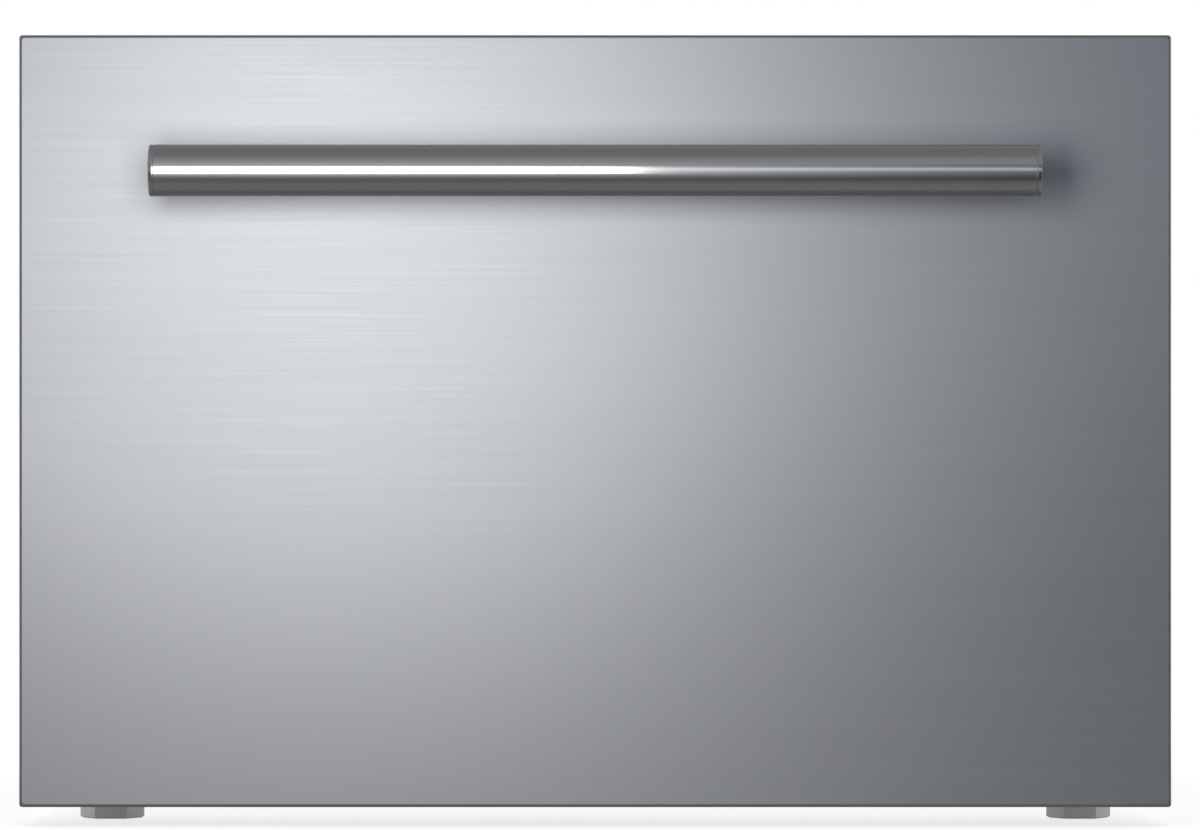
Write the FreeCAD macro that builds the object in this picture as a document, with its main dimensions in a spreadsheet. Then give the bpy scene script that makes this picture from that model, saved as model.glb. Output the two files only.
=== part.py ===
import FreeCAD, Part
import math
import os
import re

import Sketcher

# A built-in refrigerator with one drawer, as an assembly of its real pieces.
# Millimetres. Z is up and z = 0 is the floor. The drawer front faces -Y.
# x = 0 is the middle of the width, y = 0 the middle of the whole depth.
# Most pieces are drawn from the cabinet's front plane, so their y is the
# depth behind that plane, and the drawer front has negative y.

Vector = FreeCAD.Vector

# Driving sizes: name, value, what it measures.
SIZES = [
    # The drawer front
    ("front_width", 600, "drawer front, across"),
    ("front_height", 402, "drawer front, up"),
    ("front_bottom", 10, "floor to the underside of the drawer front"),
    ("front_depth", 42, "drawer front, face to rear flange"),
    ("front_sheet", 0.8, "steel of the front skin"),
    ("front_bend", 1.6, "outer bend of the front skin"),
    ("front_hem", 12, "hem folded in behind the front skin"),
    ("front_gap", 12, "rear flange of the front to the cabinet's front plane"),
    ("plug_margin", 7, "edge of the opening to the front's raised middle"),
    ("plug_depth", 14, "how far the raised middle stands out"),
    ("plug_corner", 9, "round corners of the raised middle"),
    ("panel_wall", 2, "plastic of the front's inner panel"),
    ("panel_inset", 3, "inner panel back from the edge of the front"),
    ("plate_thick", 2.5, "reinforcing plates in the drawer front"),
    ("handle_plate", 50, "reinforcing plate behind a post, across"),
    ("ear_plate", 26, "margin of the plate behind a bracket's screws, across"),
    # The handle and its bolts
    ("handle_size", 27, "handle bar, across"),
    ("handle_length", 460, "handle, end to end"),
    ("handle_drop", 72, "top of the front to the handle's axis"),
    ("handle_standoff", 48, "face of the front to the handle's axis"),
    ("handle_wall", 1.5, "wall of the handle tube"),
    ("handle_cap", 3, "head of a handle end cap"),
    ("handle_cap_bevel", 1.6, "bevel on the rim of an end cap"),
    ("cap_spigot", 10, "spigot of an end cap inside the tube"),
    ("post_inset", 34, "end of the handle to a post's middle"),
    ("post_size", 15, "handle post, across"),
    ("post_bore", 6.6, "screw bore through a post"),
    ("bolt_size", 6, "handle bolt, across"),
    ("bolt_bite", 5, "handle bolt into the tube"),
    ("bolt_head", 4, "head of a handle bolt, high"),
    # The gasket
    ("gasket_wide", 16, "gasket, across its base"),
    ("gasket_set", 14, "edge of the opening to the gasket's middle"),
    ("gasket_clearance", 0.3, "gasket to the cabinet's front frame"),
    ("gasket_base", 2.5, "each fold of the gasket's bellows"),
    ("gasket_waist", 3, "how far the bellows draws in"),
    # Screws, magnet and sensor
    ("screw_size", 4, "screws, across"),
    ("screw_head", 8, "screw head, across"),
    ("screw_head_high", 2.2, "screw head, high"),
    ("screw_reach", 8, "screw length past what it holds"),
    ("rail_anchor", 12, "slide screws, length past the slide"),
    ("rail_screw_end", 37, "end of a slide to its first screw"),
    ("magnet_long", 30, "sensor's magnet, across"),
    ("magnet_high", 8, "sensor's magnet, up"),
    ("magnet_thick", 5, "sensor's magnet, front to back"),
    ("magnet_set", 30, "skin to the sensor's magnet"),
    ("sensor_inset", 42, "inside of the liner to the sensor"),
    ("sensor_drop", 14, "top of the cabinet to the sensor"),
    ("sensor_thick", 8, "sensor, front to back"),
    # The slides
    ("rail_high", 45, "slide, up"),
    ("rail_wide", 12.7, "slide, across, closed"),
    ("rail_long", 400, "outer and drawer members of a slide"),
    ("middle_long", 380, "middle member of a slide"),
    ("travel", 380, "how far the drawer comes out"),
    ("slide_setback", 5, "cabinet's front plane to the slide"),
    ("slide_drop", 94, "liner's ceiling to the slide's middle"),
    ("rail_sheet", 1.6, "steel of the slide members"),
    ("rail_bend", 2.2, "outer bends of the slide members"),
    ("rail_lip", 1.2, "lip of the cabinet member"),
    ("rail_lip_reach", 9, "web to the edge of the lip"),
    ("rail_lip_gap", 0.3, "lip to the middle member"),
    ("middle_gap", 0.8, "cabinet member's web to the middle member's"),
    ("middle_reach", 10.6, "liner to the edge of the middle member"),
    ("inner_reach", 6, "liner to the edge of the drawer member"),
    ("outer_ball_across", 5.2, "liner to the outer balls"),
    ("inner_ball_across", 8.2, "liner to the inner balls"),
    ("ball_size", 4, "slide balls, across"),
    ("ball_count", 3, "balls in a row"),
    ("ball_inset", 15, "end of a cage to its first ball"),
    ("race_play", 0.05, "ball to its groove"),
    ("race_sink", 1, "depth of a ball groove"),
    ("cage_sheet", 0.5, "strip of a ball cage"),
    ("cage_play", 0.15, "cage to the webs beside it"),
    # The side brackets
    ("bracket_sheet", 1.5, "steel of the side brackets"),
    ("bracket_shelf", 6, "shelf of a bracket under the bin's rim"),
    ("bracket_drop", 50, "slide's middle to the bottom of a bracket"),
    ("bracket_rib", 12, "ribs left between the windows of a bracket"),
    ("ear_screw_inset", 29, "inside of the liner to the screws of an ear"),
    ("ear_screw_rise", 34, "slide's level to the screws of an ear, up and down"),
    ("ear_half", 46, "half the height of a bracket's ear"),
    ("ear_reach", 27, "bracket's ear, across"),
    ("ear_corner", 6, "round corners of an ear"),
    # The bin
    ("bin_side_gap", 21, "inside of the liner to the bin"),
    ("bin_front", 8, "front plane to the bin"),
    ("bin_step_room", 15, "step of the liner to the step of the bin"),
    ("bin_back_gap", 13, "back of the bin to the evaporator cover"),
    ("bin_floor_gap", 6, "liner's floor to the bin"),
    ("bin_step_gap", 8, "liner's step to the bin's shelf"),
    ("bin_top_gap", 21, "rim of the bin to the liner's ceiling"),
    ("bin_wall", 3, "plastic of the bin"),
    ("bin_rim", 3, "rim of the bin, thick"),
    ("bin_rim_reach", 7, "rim of the bin, across"),
    ("bin_corner", 14, "outer round corners of the bin"),
    # The cabinet and its insulation
    ("case_reveal", 3, "side of the front past the side of the cabinet"),
    ("top_reveal", 6, "top of the front past the top of the cabinet"),
    ("case_bottom", 18, "floor to the cabinet's underside"),
    ("case_depth", 545, "cabinet, front plane to back"),
    ("case_corner", 3, "outer bend of the wrapper"),
    ("case_sheet", 0.8, "steel of the wrapper and the back"),
    ("frame_sheet", 1.2, "steel of the front frame"),
    ("side_insulation", 40, "side of the cabinet to the inside of the liner"),
    ("top_insulation", 40, "top of the cabinet to the liner's ceiling"),
    ("floor_insulation", 36, "underside of the cabinet to the liner's floor"),
    ("back_insulation", 45, "back of the cabinet to the liner's back wall"),
    ("bulkhead_insulation", 40, "machine compartment to the step in the liner"),
    ("roof_insulation", 33, "roof of the machine compartment to the liner's step"),
    ("liner_wall", 2, "plastic of the liner"),
    ("liner_bend", 6, "inner bends of the liner"),
    ("liner_flange", 20, "flange of the liner behind the front frame"),
    ("engine_depth", 190, "machine compartment, front to back"),
    ("engine_height", 165, "machine compartment, up"),
    # The base, the feet and the mounting brackets
    ("pan_sheet", 1.2, "steel of the base pan"),
    ("pan_lip", 14, "upturned edge of the base pan"),
    ("pan_vent_count", 5, "air slots in the base pan"),
    ("foot_inset", 40, "edge of the cabinet to a foot"),
    ("foot_size", 34, "base of a foot, corner to corner"),
    ("foot_base", 10, "base of a foot, up"),
    ("foot_bevel", 1, "bevel under a foot"),
    ("foot_stud", 10, "stud of a foot, across"),
    ("foot_stud_top", 40, "floor to the top of a stud"),
    ("foot_stud_room", 12, "room above the nut for a stud"),
    ("foot_play", 0.15, "stud to its nut"),
    ("foot_nut", 20, "weld nut, across"),
    ("foot_nut_high", 12, "weld nut, up"),
    ("mount_inset", 67, "side of the cabinet to a mounting bracket's middle"),
    ("mount_wide", 64, "mounting bracket, across"),
    ("mount_long", 40, "mounting bracket, front to back"),
    ("mount_set", 4, "front plane to a mounting bracket"),
    ("mount_sheet", 2, "steel of a mounting bracket"),
    ("mount_pitch", 44, "mounting hole to mounting hole"),
    ("mount_hole", 5, "mounting hole, across"),
    ("mount_hole_set", 10, "front of a bracket to its mounting holes"),
    # The rear panel and the power inlet
    ("vent_inset", 35, "side of the cabinet to a block of air slots"),
    ("vent_rise", 30.8, "base pan to the lowest air slot"),
    ("vent_long", 190, "air slot, across"),
    ("vent_high", 5, "air slot, up"),
    ("vent_pitch", 12, "air slot to air slot"),
    ("vent_count", 6, "air slots in a block"),
    ("inlet_place", 0, "middle to the power inlet"),
    ("inlet_drop", 33, "roof of the machine compartment to the power inlet"),
    ("inlet_wide", 28, "power inlet, across"),
    ("inlet_high", 22, "power inlet, up"),
    ("inlet_play", 0.2, "clearance round the power inlet"),
    ("inlet_deep", 22, "power inlet, front to back"),
    ("inlet_wall", 2, "wall of the power inlet"),
    ("pin_thick", 2, "pin of the inlet, across"),
    ("pin_tall", 4, "pin of the inlet, up"),
    ("pin_pitch", 7, "middle pin to an outer pin"),
    ("pin_rise", 4, "how far the middle pin stands higher"),
    # The compressor
    ("compressor_inset", 122, "side of the cabinet to the compressor's middle"),
    ("compressor_rise", 16.8, "base pan to the compressor's can"),
    ("compressor_high", 128, "compressor's can, up"),
    ("compressor_size", 112, "compressor's can, across"),
    ("compressor_slope", 22, "sloped ends of the can"),
    ("seam_high", 4, "welded seam of the can, up"),
    ("seam_reach", 4, "welded seam of the can, out"),
    ("mount_plate_wide", 156, "compressor's plate, across"),
    ("mount_plate_deep", 100, "compressor's plate, front to back"),
    ("grommet_inset", 13, "edge of the plate to a grommet"),
    ("grommet_size", 22, "grommet, across"),
    ("grommet_waist", 13, "grommet through the plate, across"),
    ("grommet_high", 12, "grommet under the plate, up"),
    ("terminal_rise", 40, "foot of the compressor's can to the terminal cover"),
    ("terminal_high", 34, "terminal cover, up"),
    ("terminal_wide", 46, "terminal cover, across"),
    ("terminal_reach", 26, "terminal cover, out from the can"),
    ("terminal_corner", 5, "round corners of the terminal cover"),
    # The condenser and its fan
    ("condenser_inset", 72, "side of the cabinet to the condenser's middle"),
    ("condenser_wide", 60, "condenser, across"),
    ("condenser_deep", 132, "condenser, front to back"),
    ("condenser_high", 124, "condenser, up"),
    ("condenser_rise", 8, "base pan to the condenser"),
    ("fin_sheet", 0.6, "fin of a coil, thick"),
    ("fin_count", 20, "fins of the condenser"),
    ("fan_rise", 76.8, "base pan to the condenser fan's axis"),
    ("fan_size", 112, "condenser fan, across"),
    ("fan_hub", 34, "hub of the condenser fan, across"),
    ("fan_deep", 20, "condenser fan, front to back"),
    ("fan_play", 2, "clearance round a fan"),
    ("fan_tunnel", 12, "collar of the shroud"),
    ("fan_blade_count", 5, "blades of the condenser fan"),
    ("blade_sheet", 1.6, "fan blade, thick"),
    ("shroud_inset", 121, "side of the cabinet to the fan shroud"),
    ("shroud_size", 134, "fan shroud, across"),
    ("shroud_sheet", 2, "fan shroud, thick"),
    ("shroud_corner", 8, "round corners of the shroud"),
    ("motor_size", 44, "condenser fan motor, across"),
    ("motor_long", 26, "condenser fan motor, long"),
    ("motor_arm", 5, "arm of a fan motor, across"),
    # The drain, the tray and the refrigerant tubes
    ("drain_inset", 30, "liner's back wall to the drain"),
    ("drain_shroud_gap", 86, "drain to the fan shroud"),
    ("drain_size", 14, "drain tube, across"),
    ("drain_wall", 2, "wall of the drain tube"),
    ("drain_clear", 36.8, "base pan to the end of the drain tube"),
    ("tray_gap", 95, "compressor's middle to the tray"),
    ("tray_shroud_gap", 58, "tray to the fan shroud"),
    ("tray_setback", 35, "front of the machine compartment to the tray"),
    ("tray_back_gap", 15, "tray to the back of the cabinet"),
    ("tray_high", 26, "tray, up"),
    ("tray_wall", 2, "plastic of the tray"),
    ("tray_corner", 8, "round corners of the tray"),
    ("tube_size", 7, "refrigerant tube, across"),
    ("tube_gap", 14, "tube to tube"),
    ("tube_setback", 12, "evaporator cover to the tubes through the foam"),
    ("tube_rise", 30, "step of the liner to the ends of the tubes"),
    ("suction_gap", 115, "compressor's middle to the first refrigerant tube"),
    ("suction_rise", 94, "foot of the compressor's can to the suction tube"),
    ("discharge_gap", 13, "front of the machine compartment to the discharge tube"),
    ("discharge_rise", 26, "foot of the compressor's can to the discharge tube"),
    ("drier_gap", 84, "first refrigerant tube to the filter drier's middle"),
    ("drier_drop", 13, "roof of the machine compartment to the filter drier"),
    ("drier_long", 70, "filter drier, long"),
    ("drier_size", 16, "filter drier, across"),
    ("drier_taper", 4, "tapered ends of the filter drier"),
    # The evaporator, its cover and its fan
    ("cover_gap", 60, "evaporator cover to the liner's back wall"),
    ("cover_wall", 2.5, "plastic of the evaporator cover"),
    ("cover_return", 5, "folded edges of the evaporator cover"),
    ("cool_fan_inset", 92, "inside of the liner to the evaporator fan's axis"),
    ("cool_fan_rise", 76, "liner's step to the evaporator fan's axis"),
    ("cool_fan_size", 84, "evaporator fan, across"),
    ("cool_fan_hub", 28, "hub of the evaporator fan, across"),
    ("cool_fan_deep", 16, "evaporator fan, front to back"),
    ("cool_fan_gap", 4, "cover to the evaporator fan"),
    ("cool_blade_count", 5, "blades of the evaporator fan"),
    ("cool_motor_size", 36, "evaporator fan motor, across"),
    ("cool_motor_long", 18, "evaporator fan motor, long"),
    ("cool_slot_wide", 96, "air slot in front of the fan, across"),
    ("cool_slot_high", 5, "air slot in the cover, up"),
    ("cool_slot_pitch", 11, "air slot to air slot in the cover"),
    ("cool_slot_rise", 32, "liner's step to the lowest slot before the fan"),
    ("cool_slot_count", 9, "air slots before the fan"),
    ("return_slot_rise", 10, "liner's step to the lowest return slot"),
    ("return_slot_count", 3, "return slots"),
    ("coil_fan_gap", 95, "evaporator fan's axis to the evaporator"),
    ("coil_inset", 32, "evaporator to the inside of the liner"),
    ("coil_rise", 24, "liner's step to the evaporator"),
    ("coil_top_gap", 14, "evaporator to the liner's ceiling"),
    ("coil_deep", 28, "evaporator, front to back"),
    ("coil_back_gap", 22, "evaporator's middle to the liner's back wall"),
    ("coil_fin_count", 24, "fins of the evaporator"),
    # The controls and the lamp
    ("control_front", 15, "front plane to the control housing"),
    ("control_half", 130, "control housing, half its width"),
    ("control_high", 16, "control housing, up"),
    ("control_deep", 50, "control housing, front to back"),
    ("control_wall", 2, "plastic of the control housing"),
    ("button_first", 64, "middle to the first button"),
    ("button_pitch", 22, "button to button"),
    ("button_size", 8, "button, across"),
    ("button_play", 0.3, "button to its hole"),
    ("button_stand", 2, "how far a button stands out"),
    ("button_travel", 1, "travel of a button"),
    ("button_flange", 1, "flange of a button"),
    ("button_flange_gap", 0.3, "control wall to a button's flange"),
    ("button_round", 0.8, "round rim of a button"),
    ("button_spring", 1, "room for a button's spring"),
    ("window_half", 60, "window, half its width"),
    ("window_shift", -45, "middle to the window's middle"),
    ("window_high", 8, "window, up"),
    ("window_rim", 1, "rim of the window behind the wall"),
    ("board_depth", 26, "front plane to the control board"),
    ("board_sheet", 1.6, "control board, thick"),
    ("board_gap", 3, "control board to the housing"),
    ("lamp_half", 60, "lamp lens, half its width"),
    ("lamp_depth", 90, "front plane to the lamp lens"),
    ("lamp_deep", 26, "lamp lens, front to back"),
    ("lamp_high", 5, "lamp lens, up"),
]

# Places and sizes that follow from the driving ones.
PLACES = {
    "handle_reach": "handle_standoff + handle_size / 2",
    "overall_depth": "handle_reach + front_depth + front_gap + case_depth",
    "case_front": "handle_reach + front_depth + front_gap - overall_depth / 2",
    "front_top": "front_bottom + front_height",
    "front_half": "front_width / 2",
    "front_back": "-front_gap",
    "front_face": "front_back - front_depth",
    "skin_back": "front_back - panel_wall",
    "handle_level": "front_top - handle_drop",
    "handle_axis": "front_face - handle_standoff",
    "post_pitch": "handle_length - 2 * post_inset",
    "post_place": "post_pitch / 2",
    "case_half": "front_half - case_reveal",
    "opening_half": "case_half - side_insulation",
    "plug_half": "opening_half - plug_margin",
    "opening_bottom": "case_bottom + floor_insulation",
    "plug_low": "opening_bottom + plug_margin",
    "case_top": "front_top - top_reveal",
    "opening_top": "case_top - top_insulation",
    "plug_top": "opening_top - plug_margin",
    "plug_back": "front_back + plug_depth",
    "case_inside": "case_half - case_sheet",
    "pan_top": "case_bottom + pan_sheet",
    "back_inside": "case_depth - case_sheet",
    "engine_front": "case_depth - engine_depth",
    "gasket_half": "opening_half + gasket_set",
    "gasket_low": "opening_bottom - gasket_set",
    "gasket_top": "opening_top + gasket_set",
    "rail_half": "rail_high / 2",
    "rail_web_face": "opening_half - rail_sheet",
    "rail_inner_face": "opening_half - rail_wide",
    "outer_ball_up": "rail_half - rail_sheet - ball_size / 2 + race_sink",
    "middle_top": "outer_ball_up - ball_size / 2 + race_sink",
    "middle_under": "middle_top - rail_sheet",
    "inner_ball_up": "middle_under - ball_size / 2 + race_sink",
    "inner_top": "inner_ball_up - ball_size / 2 + race_sink",
    "inner_under": "inner_top - rail_sheet",
    "rail_lip_level": "middle_top + rail_lip_gap",
    "middle_web": "rail_sheet + middle_gap",
    "middle_setback": "slide_setback + (rail_long - middle_long) / 4",
    "cage_setback": "middle_setback + travel / 4",
    "cage_long": "middle_long - travel / 2",
    "ball_pitch": "(cage_long - 2 * ball_inset) / (ball_count - 1)",
    "outer_cage_reach": "rail_lip_reach - rail_lip - cage_play",
    "inner_cage_web": "middle_web + rail_sheet + 2 * cage_play",
    "inner_cage_reach": "rail_wide - rail_sheet - 2 * cage_play",
    "slide_level": "opening_top - slide_drop",
    "bracket_low": "slide_level - bracket_drop",
    "button_level": "opening_top - control_high / 2 + control_wall / 2",
    "button_end": "control_front + control_wall + button_flange_gap + button_flange",
    "board_low": "opening_top - control_high + control_wall",
    "liner_depth": "case_depth - back_insulation",
    "hump_depth": "engine_front - bulkhead_insulation",
    "engine_top": "case_bottom + engine_height",
    "hump_top": "engine_top + roof_insulation",
    "ear_screw_place": "opening_half - ear_screw_inset",
    "sensor_place": "opening_half - sensor_inset",
    "sensor_level": "case_top - sensor_drop",
    "bin_half": "opening_half - bin_side_gap",
    "bin_low": "opening_bottom + bin_floor_gap",
    "bin_shelf": "hump_top + bin_step_gap",
    "bin_step": "hump_depth - bin_step_room",
    "cover_depth": "liner_depth - cover_gap",
    "bin_back": "cover_depth - bin_back_gap",
    "bin_top": "opening_top - bin_top_gap",
    "compressor_place": "compressor_inset - case_half",
    "compressor_depth": "engine_front + engine_depth / 2",
    "fan_depth": "engine_front + engine_depth / 2",
    "condenser_place": "case_half - condenser_inset",
    "shroud_place": "case_half - shroud_inset",
    "tray_left": "compressor_place + tray_gap",
    "tray_right": "shroud_place - tray_shroud_gap",
    "tray_front": "engine_front + tray_setback",
    "tray_back": "case_depth - tray_back_gap",
    "drain_place": "shroud_place - drain_shroud_gap",
    "drain_depth": "liner_depth - drain_inset",
    "suction_place": "compressor_place + suction_gap",
    "tube_entry": "cover_depth + tube_setback",
    "discharge_depth": "engine_front + discharge_gap",
    "drier_place": "suction_place + drier_gap",
    "drier_level": "engine_top - drier_drop",
    "cool_fan_place": "cool_fan_inset - opening_half",
    "cool_fan_level": "hump_top + cool_fan_rise",
    "cool_slot_low": "hump_top + cool_slot_rise",
    "return_slot_low": "hump_top + return_slot_rise",
    "coil_left": "cool_fan_place + coil_fan_gap",
    "coil_right": "opening_half - coil_inset",
    "coil_low": "hump_top + coil_rise",
    "coil_high": "opening_top - coil_top_gap - coil_low",
    "coil_depth": "liner_depth - coil_back_gap",
    "inlet_level": "engine_top - inlet_drop",
    "outlet_place": "vent_inset - case_half",
    "intake_place": "case_half - vent_inset - vent_long",
    "mount_place": "case_half - mount_inset",
    "compressor_low": "pan_top + compressor_rise",
    "terminal_low": "compressor_low + terminal_rise",
    "suction_level": "compressor_low + suction_rise",
    "discharge_level": "compressor_low + discharge_rise",
    "drain_end": "pan_top + drain_clear",
    "fan_level": "pan_top + fan_rise",
    "vent_low": "pan_top + vent_rise",
    "gasket_high": "front_gap - gasket_clearance",
}

document = FreeCAD.newDocument("refrigerator_drawer")
sheet = document.addObject("Spreadsheet::Sheet", "Sizes")
for row, (name, amount, note) in enumerate(SIZES, start=1):
    sheet.set(f"A{row}", name)
    sheet.set(f"B{row}", str(amount))
    sheet.set(f"C{row}", note)
    sheet.setAlias(f"B{row}", name)
document.recompute()

KNOWN = {name for name, amount, note in SIZES}
SAME = 1e-4


def spell(formula):
    """Write a formula of plain names as an expression on the sheet."""

    def word(match):
        name = match.group(0)
        if name in PLACES:
            return "(" + spell(PLACES[name]) + ")"
        return "Sizes." + name if name in KNOWN else name

    return re.sub(r"[a-z]\w*", word, formula)


def value(formula):
    """The present value of a formula of plain names."""
    return float(sheet.evalExpression(spell(formula)))


def bind(item, field, formula):
    """Tie one property of an object to the sheet."""
    item.setExpression(field, spell(formula))


def near(number, formula):
    return abs(number - value(formula)) < SAME


class Piece:
    """One sub-part: a body placed by formulas, with its sketches and features."""

    every = []

    def __init__(self, label, x="0", y="case_front", z="0", turned=False, loose=False):
        self.body = document.addObject("PartDesign::Body", label)
        self.body.Label = label
        self.body.AllowCompound = loose
        for axis, formula in (("x", x), ("y", y), ("z", z)):
            bind(self.body, "Placement.Base." + axis, formula)
        if turned:
            half_turn = FreeCAD.Rotation(Vector(0, 1, 0), 180)
            self.body.Placement.Rotation = half_turn
        Piece.every.append(self)

    def origin(self, role):
        features = self.body.Origin.OriginFeatures
        return next(item for item in features if item.Role == role)

    def sketch(self, plane, at="0"):
        """A sketch on the plane XY, XZ or YZ, moved along its normal axis to at."""
        sketch = self.body.newObject("Sketcher::SketchObject", "sketch")
        sketch.AttachmentSupport = [(self.origin(plane + "_Plane"), "")]
        sketch.MapMode = "FlatFace"
        away = f"-({at})" if plane == "XZ" else at
        bind(sketch, "AttachmentOffset.Base.z", away)
        return sketch

    def pad(self, sketch, length, both=False):
        """Raise a sketch towards +X, +Y or +Z, or half to each side."""
        pad = self.body.newObject("PartDesign::Pad", "pad")
        pad.Profile = sketch
        pad.Reversed = on_xz(sketch)
        pad.Midplane = both
        bind(pad, "Length", length)
        return pad

    def pocket(self, sketch, length, both=False):
        """Cut a sketch towards +X, +Y or +Z, or half to each side."""
        pocket = self.body.newObject("PartDesign::Pocket", "pocket")
        pocket.Profile = sketch
        pocket.Reversed = not on_xz(sketch)
        pocket.Midplane = both
        bind(pocket, "Length", length)
        return pocket

    def turn(self, sketch, axis, cut=False):
        """Turn a sketch once round one of the body's axes."""
        kind = "PartDesign::Groove" if cut else "PartDesign::Revolution"
        turn = self.body.newObject(kind, "turn")
        turn.Profile = sketch
        turn.ReferenceAxis = (self.origin(axis + "_Axis"), [""])
        turn.Angle = 360
        return turn

    def sweep(self, path, profile):
        """Carry a profile along every edge of a path, with mitred corners."""
        sweep = self.body.newObject("PartDesign::AdditivePipe", "sweep")
        sweep.Profile = profile
        edges = [f"Edge{i + 1}" for i in range(path.GeometryCount)]
        sweep.Spine = (path, edges)
        sweep.Transition = "Right corner"
        return sweep

    def row(self, features, axis, pitch, count, whole=False):
        """Repeat features along an axis."""
        row = self.body.newObject("PartDesign::LinearPattern", "row")
        if whole:
            row.TransformMode = "Whole shape"
        else:
            row.Originals = features
        row.Direction = (self.origin(axis + "_Axis"), [""])
        row.Mode = "Spacing"
        bind(row, "Offset", pitch)
        bind(row, "Occurrences", count)
        self.body.Tip = row
        return row

    def ring(self, features, axis, count):
        """Repeat features round an axis."""
        ring = self.body.newObject("PartDesign::PolarPattern", "ring")
        ring.Originals = features
        ring.Axis = (self.origin(axis + "_Axis"), [""])
        ring.Angle = 360
        bind(ring, "Occurrences", count)
        self.body.Tip = ring
        return ring

    def dress(self, kind, field, size, chosen):
        """Fillet or chamfer the edges that chosen accepts."""
        document.recompute()
        tip = self.body.Tip
        edges = enumerate(tip.Shape.Edges, start=1)
        names = [f"Edge{i}" for i, edge in edges if chosen(edge)]
        dress = self.body.newObject("PartDesign::" + kind, kind.lower())
        dress.Base = (tip, names)
        bind(dress, field, size)
        return dress

    def fillet(self, radius, chosen):
        return self.dress("Fillet", "Radius", radius, chosen)

    def chamfer(self, size, chosen):
        return self.dress("Chamfer", "Size", size, chosen)


def on_xz(sketch):
    support = sketch.AttachmentSupport[0][0]
    return support.Role == "XZ_Plane"


def outline(sketch, corners):
    """Draw a closed outline. A corner is (across, up) or (across, up, radius)."""
    spots = [Vector(value(c[0]), value(c[1]), 0) for c in corners]
    radii = [value(c[2]) if len(c) > 2 else 0 for c in corners]
    count = len(corners)
    leave = list(spots)
    reach = list(spots)
    bends = {}
    for i, spot in enumerate(spots):
        if radii[i]:
            back = (spots[i - 1] - spot).normalize()
            ahead = (spots[(i + 1) % count] - spot).normalize()
            half = back.getAngle(ahead) / 2
            run = radii[i] / math.tan(half)
            inward = (back + ahead).normalize()
            reach[i] = spot + back * run
            leave[i] = spot + ahead * run
            bends[i] = spot + inward * (radii[i] / math.sin(half))
    lines = [Part.LineSegment(leave[i], reach[(i + 1) % count]) for i in range(count)]
    first = sketch.addGeometry(lines, False)[0]
    rules = []
    ties = []
    for i, corner in enumerate(corners):
        before = first + (i - 1) % count
        after = first + i
        if i in bends:
            spokes = (reach[i] - bends[i], leave[i] - bends[i])
            leftward = spokes[0].cross(spokes[1]).z > 0
            start, end = (1, 2) if leftward else (2, 1)
            if not leftward:
                spokes = spokes[::-1]
            ring = Part.Circle(bends[i], Vector(0, 0, 1), radii[i])
            turns = [math.atan2(spoke.y, spoke.x) for spoke in spokes]
            arc = sketch.addGeometry(Part.ArcOfCircle(ring, *turns), False)
            point = sketch.addGeometry(Part.Point(spots[i]), True)
            rules.append(Sketcher.Constraint("Tangent", before, 2, arc, start))
            rules.append(Sketcher.Constraint("Tangent", arc, end, after, 1))
            rules.append(Sketcher.Constraint("PointOnObject", point, 1, before))
            rules.append(Sketcher.Constraint("PointOnObject", point, 1, after))
            ties.append((Sketcher.Constraint("Radius", arc, radii[i]), corner[2]))
            held = point
        else:
            rules.append(Sketcher.Constraint("Coincident", before, 2, after, 1))
            held = after
        for kind, size, formula in zip(("DistanceX", "DistanceY"), spots[i], corner):
            tie = Sketcher.Constraint(kind, -1, 1, held, 1, size)
            ties.append((tie, formula))
    settle(sketch, rules, ties)


def circle(sketch, across, up, diameter):
    """Draw a circle from its centre and diameter."""
    centre = Vector(value(across), value(up), 0)
    size = value(diameter)
    shape = Part.Circle(centre, Vector(0, 0, 1), size / 2)
    index = sketch.addGeometry(shape, False)
    ties = [
        (Sketcher.Constraint("DistanceX", -1, 1, index, 3, centre.x), across),
        (Sketcher.Constraint("DistanceY", -1, 1, index, 3, centre.y), up),
        (Sketcher.Constraint("Diameter", index, size), diameter),
    ]
    settle(sketch, [], ties)


def polygon(sketch, across, up, diameter, sides):
    """Draw a round of flats, for what is hidden or repeated."""
    half = f"({diameter}) / 2"
    turns = [360 * (number + 0.5) / sides for number in range(sides)]
    corners = []
    for turn in turns:
        corners.append((f"{across} + {half} * cos({turn})", f"{up} + {half} * sin({turn})"))
    outline(sketch, corners)


def small_round(sketch, across, up, diameter):
    """Draw a small round as six flats."""
    polygon(sketch, across, up, diameter, 6)


def large_round(sketch, across, up, diameter):
    """Draw a larger round as sixteen flats."""
    polygon(sketch, across, up, diameter, 16)


def settle(sketch, rules, ties):
    """Add plain constraints, and dimensions tied to their formulas."""
    named = []
    for number, (tie, formula) in enumerate(ties, start=sketch.ConstraintCount):
        tie.Name = f"size_{number}"
        named.append((tie.Name, formula))
    sketch.addConstraint(rules + [tie for tie, formula in ties])
    for name, formula in named:
        bind(sketch, "Constraints." + name, formula)


def box_outline(sketch, left, bottom, right, top, radius=None):
    """Draw a rectangle, with round corners where a radius is given."""
    corners = [(left, bottom), (right, bottom), (right, top), (left, top)]
    if radius:
        corners = [(across, up, radius) for across, up in corners]
    outline(sketch, corners)


def frame_outline(sketch, half_width, bottom, top, radius=None):
    """Draw a rectangle that is even about x = 0."""
    box_outline(sketch, f"-({half_width})", bottom, half_width, top, radius)


def along(edge, axis):
    """True for a straight edge parallel to an axis."""
    if not isinstance(edge.Curve, Part.Line):
        return False
    return abs(getattr(edge.Curve.Direction, axis)) > 1 - SAME


def at(edge, axis, formula):
    """True where the whole edge lies at one coordinate."""
    lowest = getattr(edge.BoundBox, axis.upper() + "Min")
    highest = getattr(edge.BoundBox, axis.upper() + "Max")
    return near(lowest, formula) and near(highest, formula)


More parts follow.
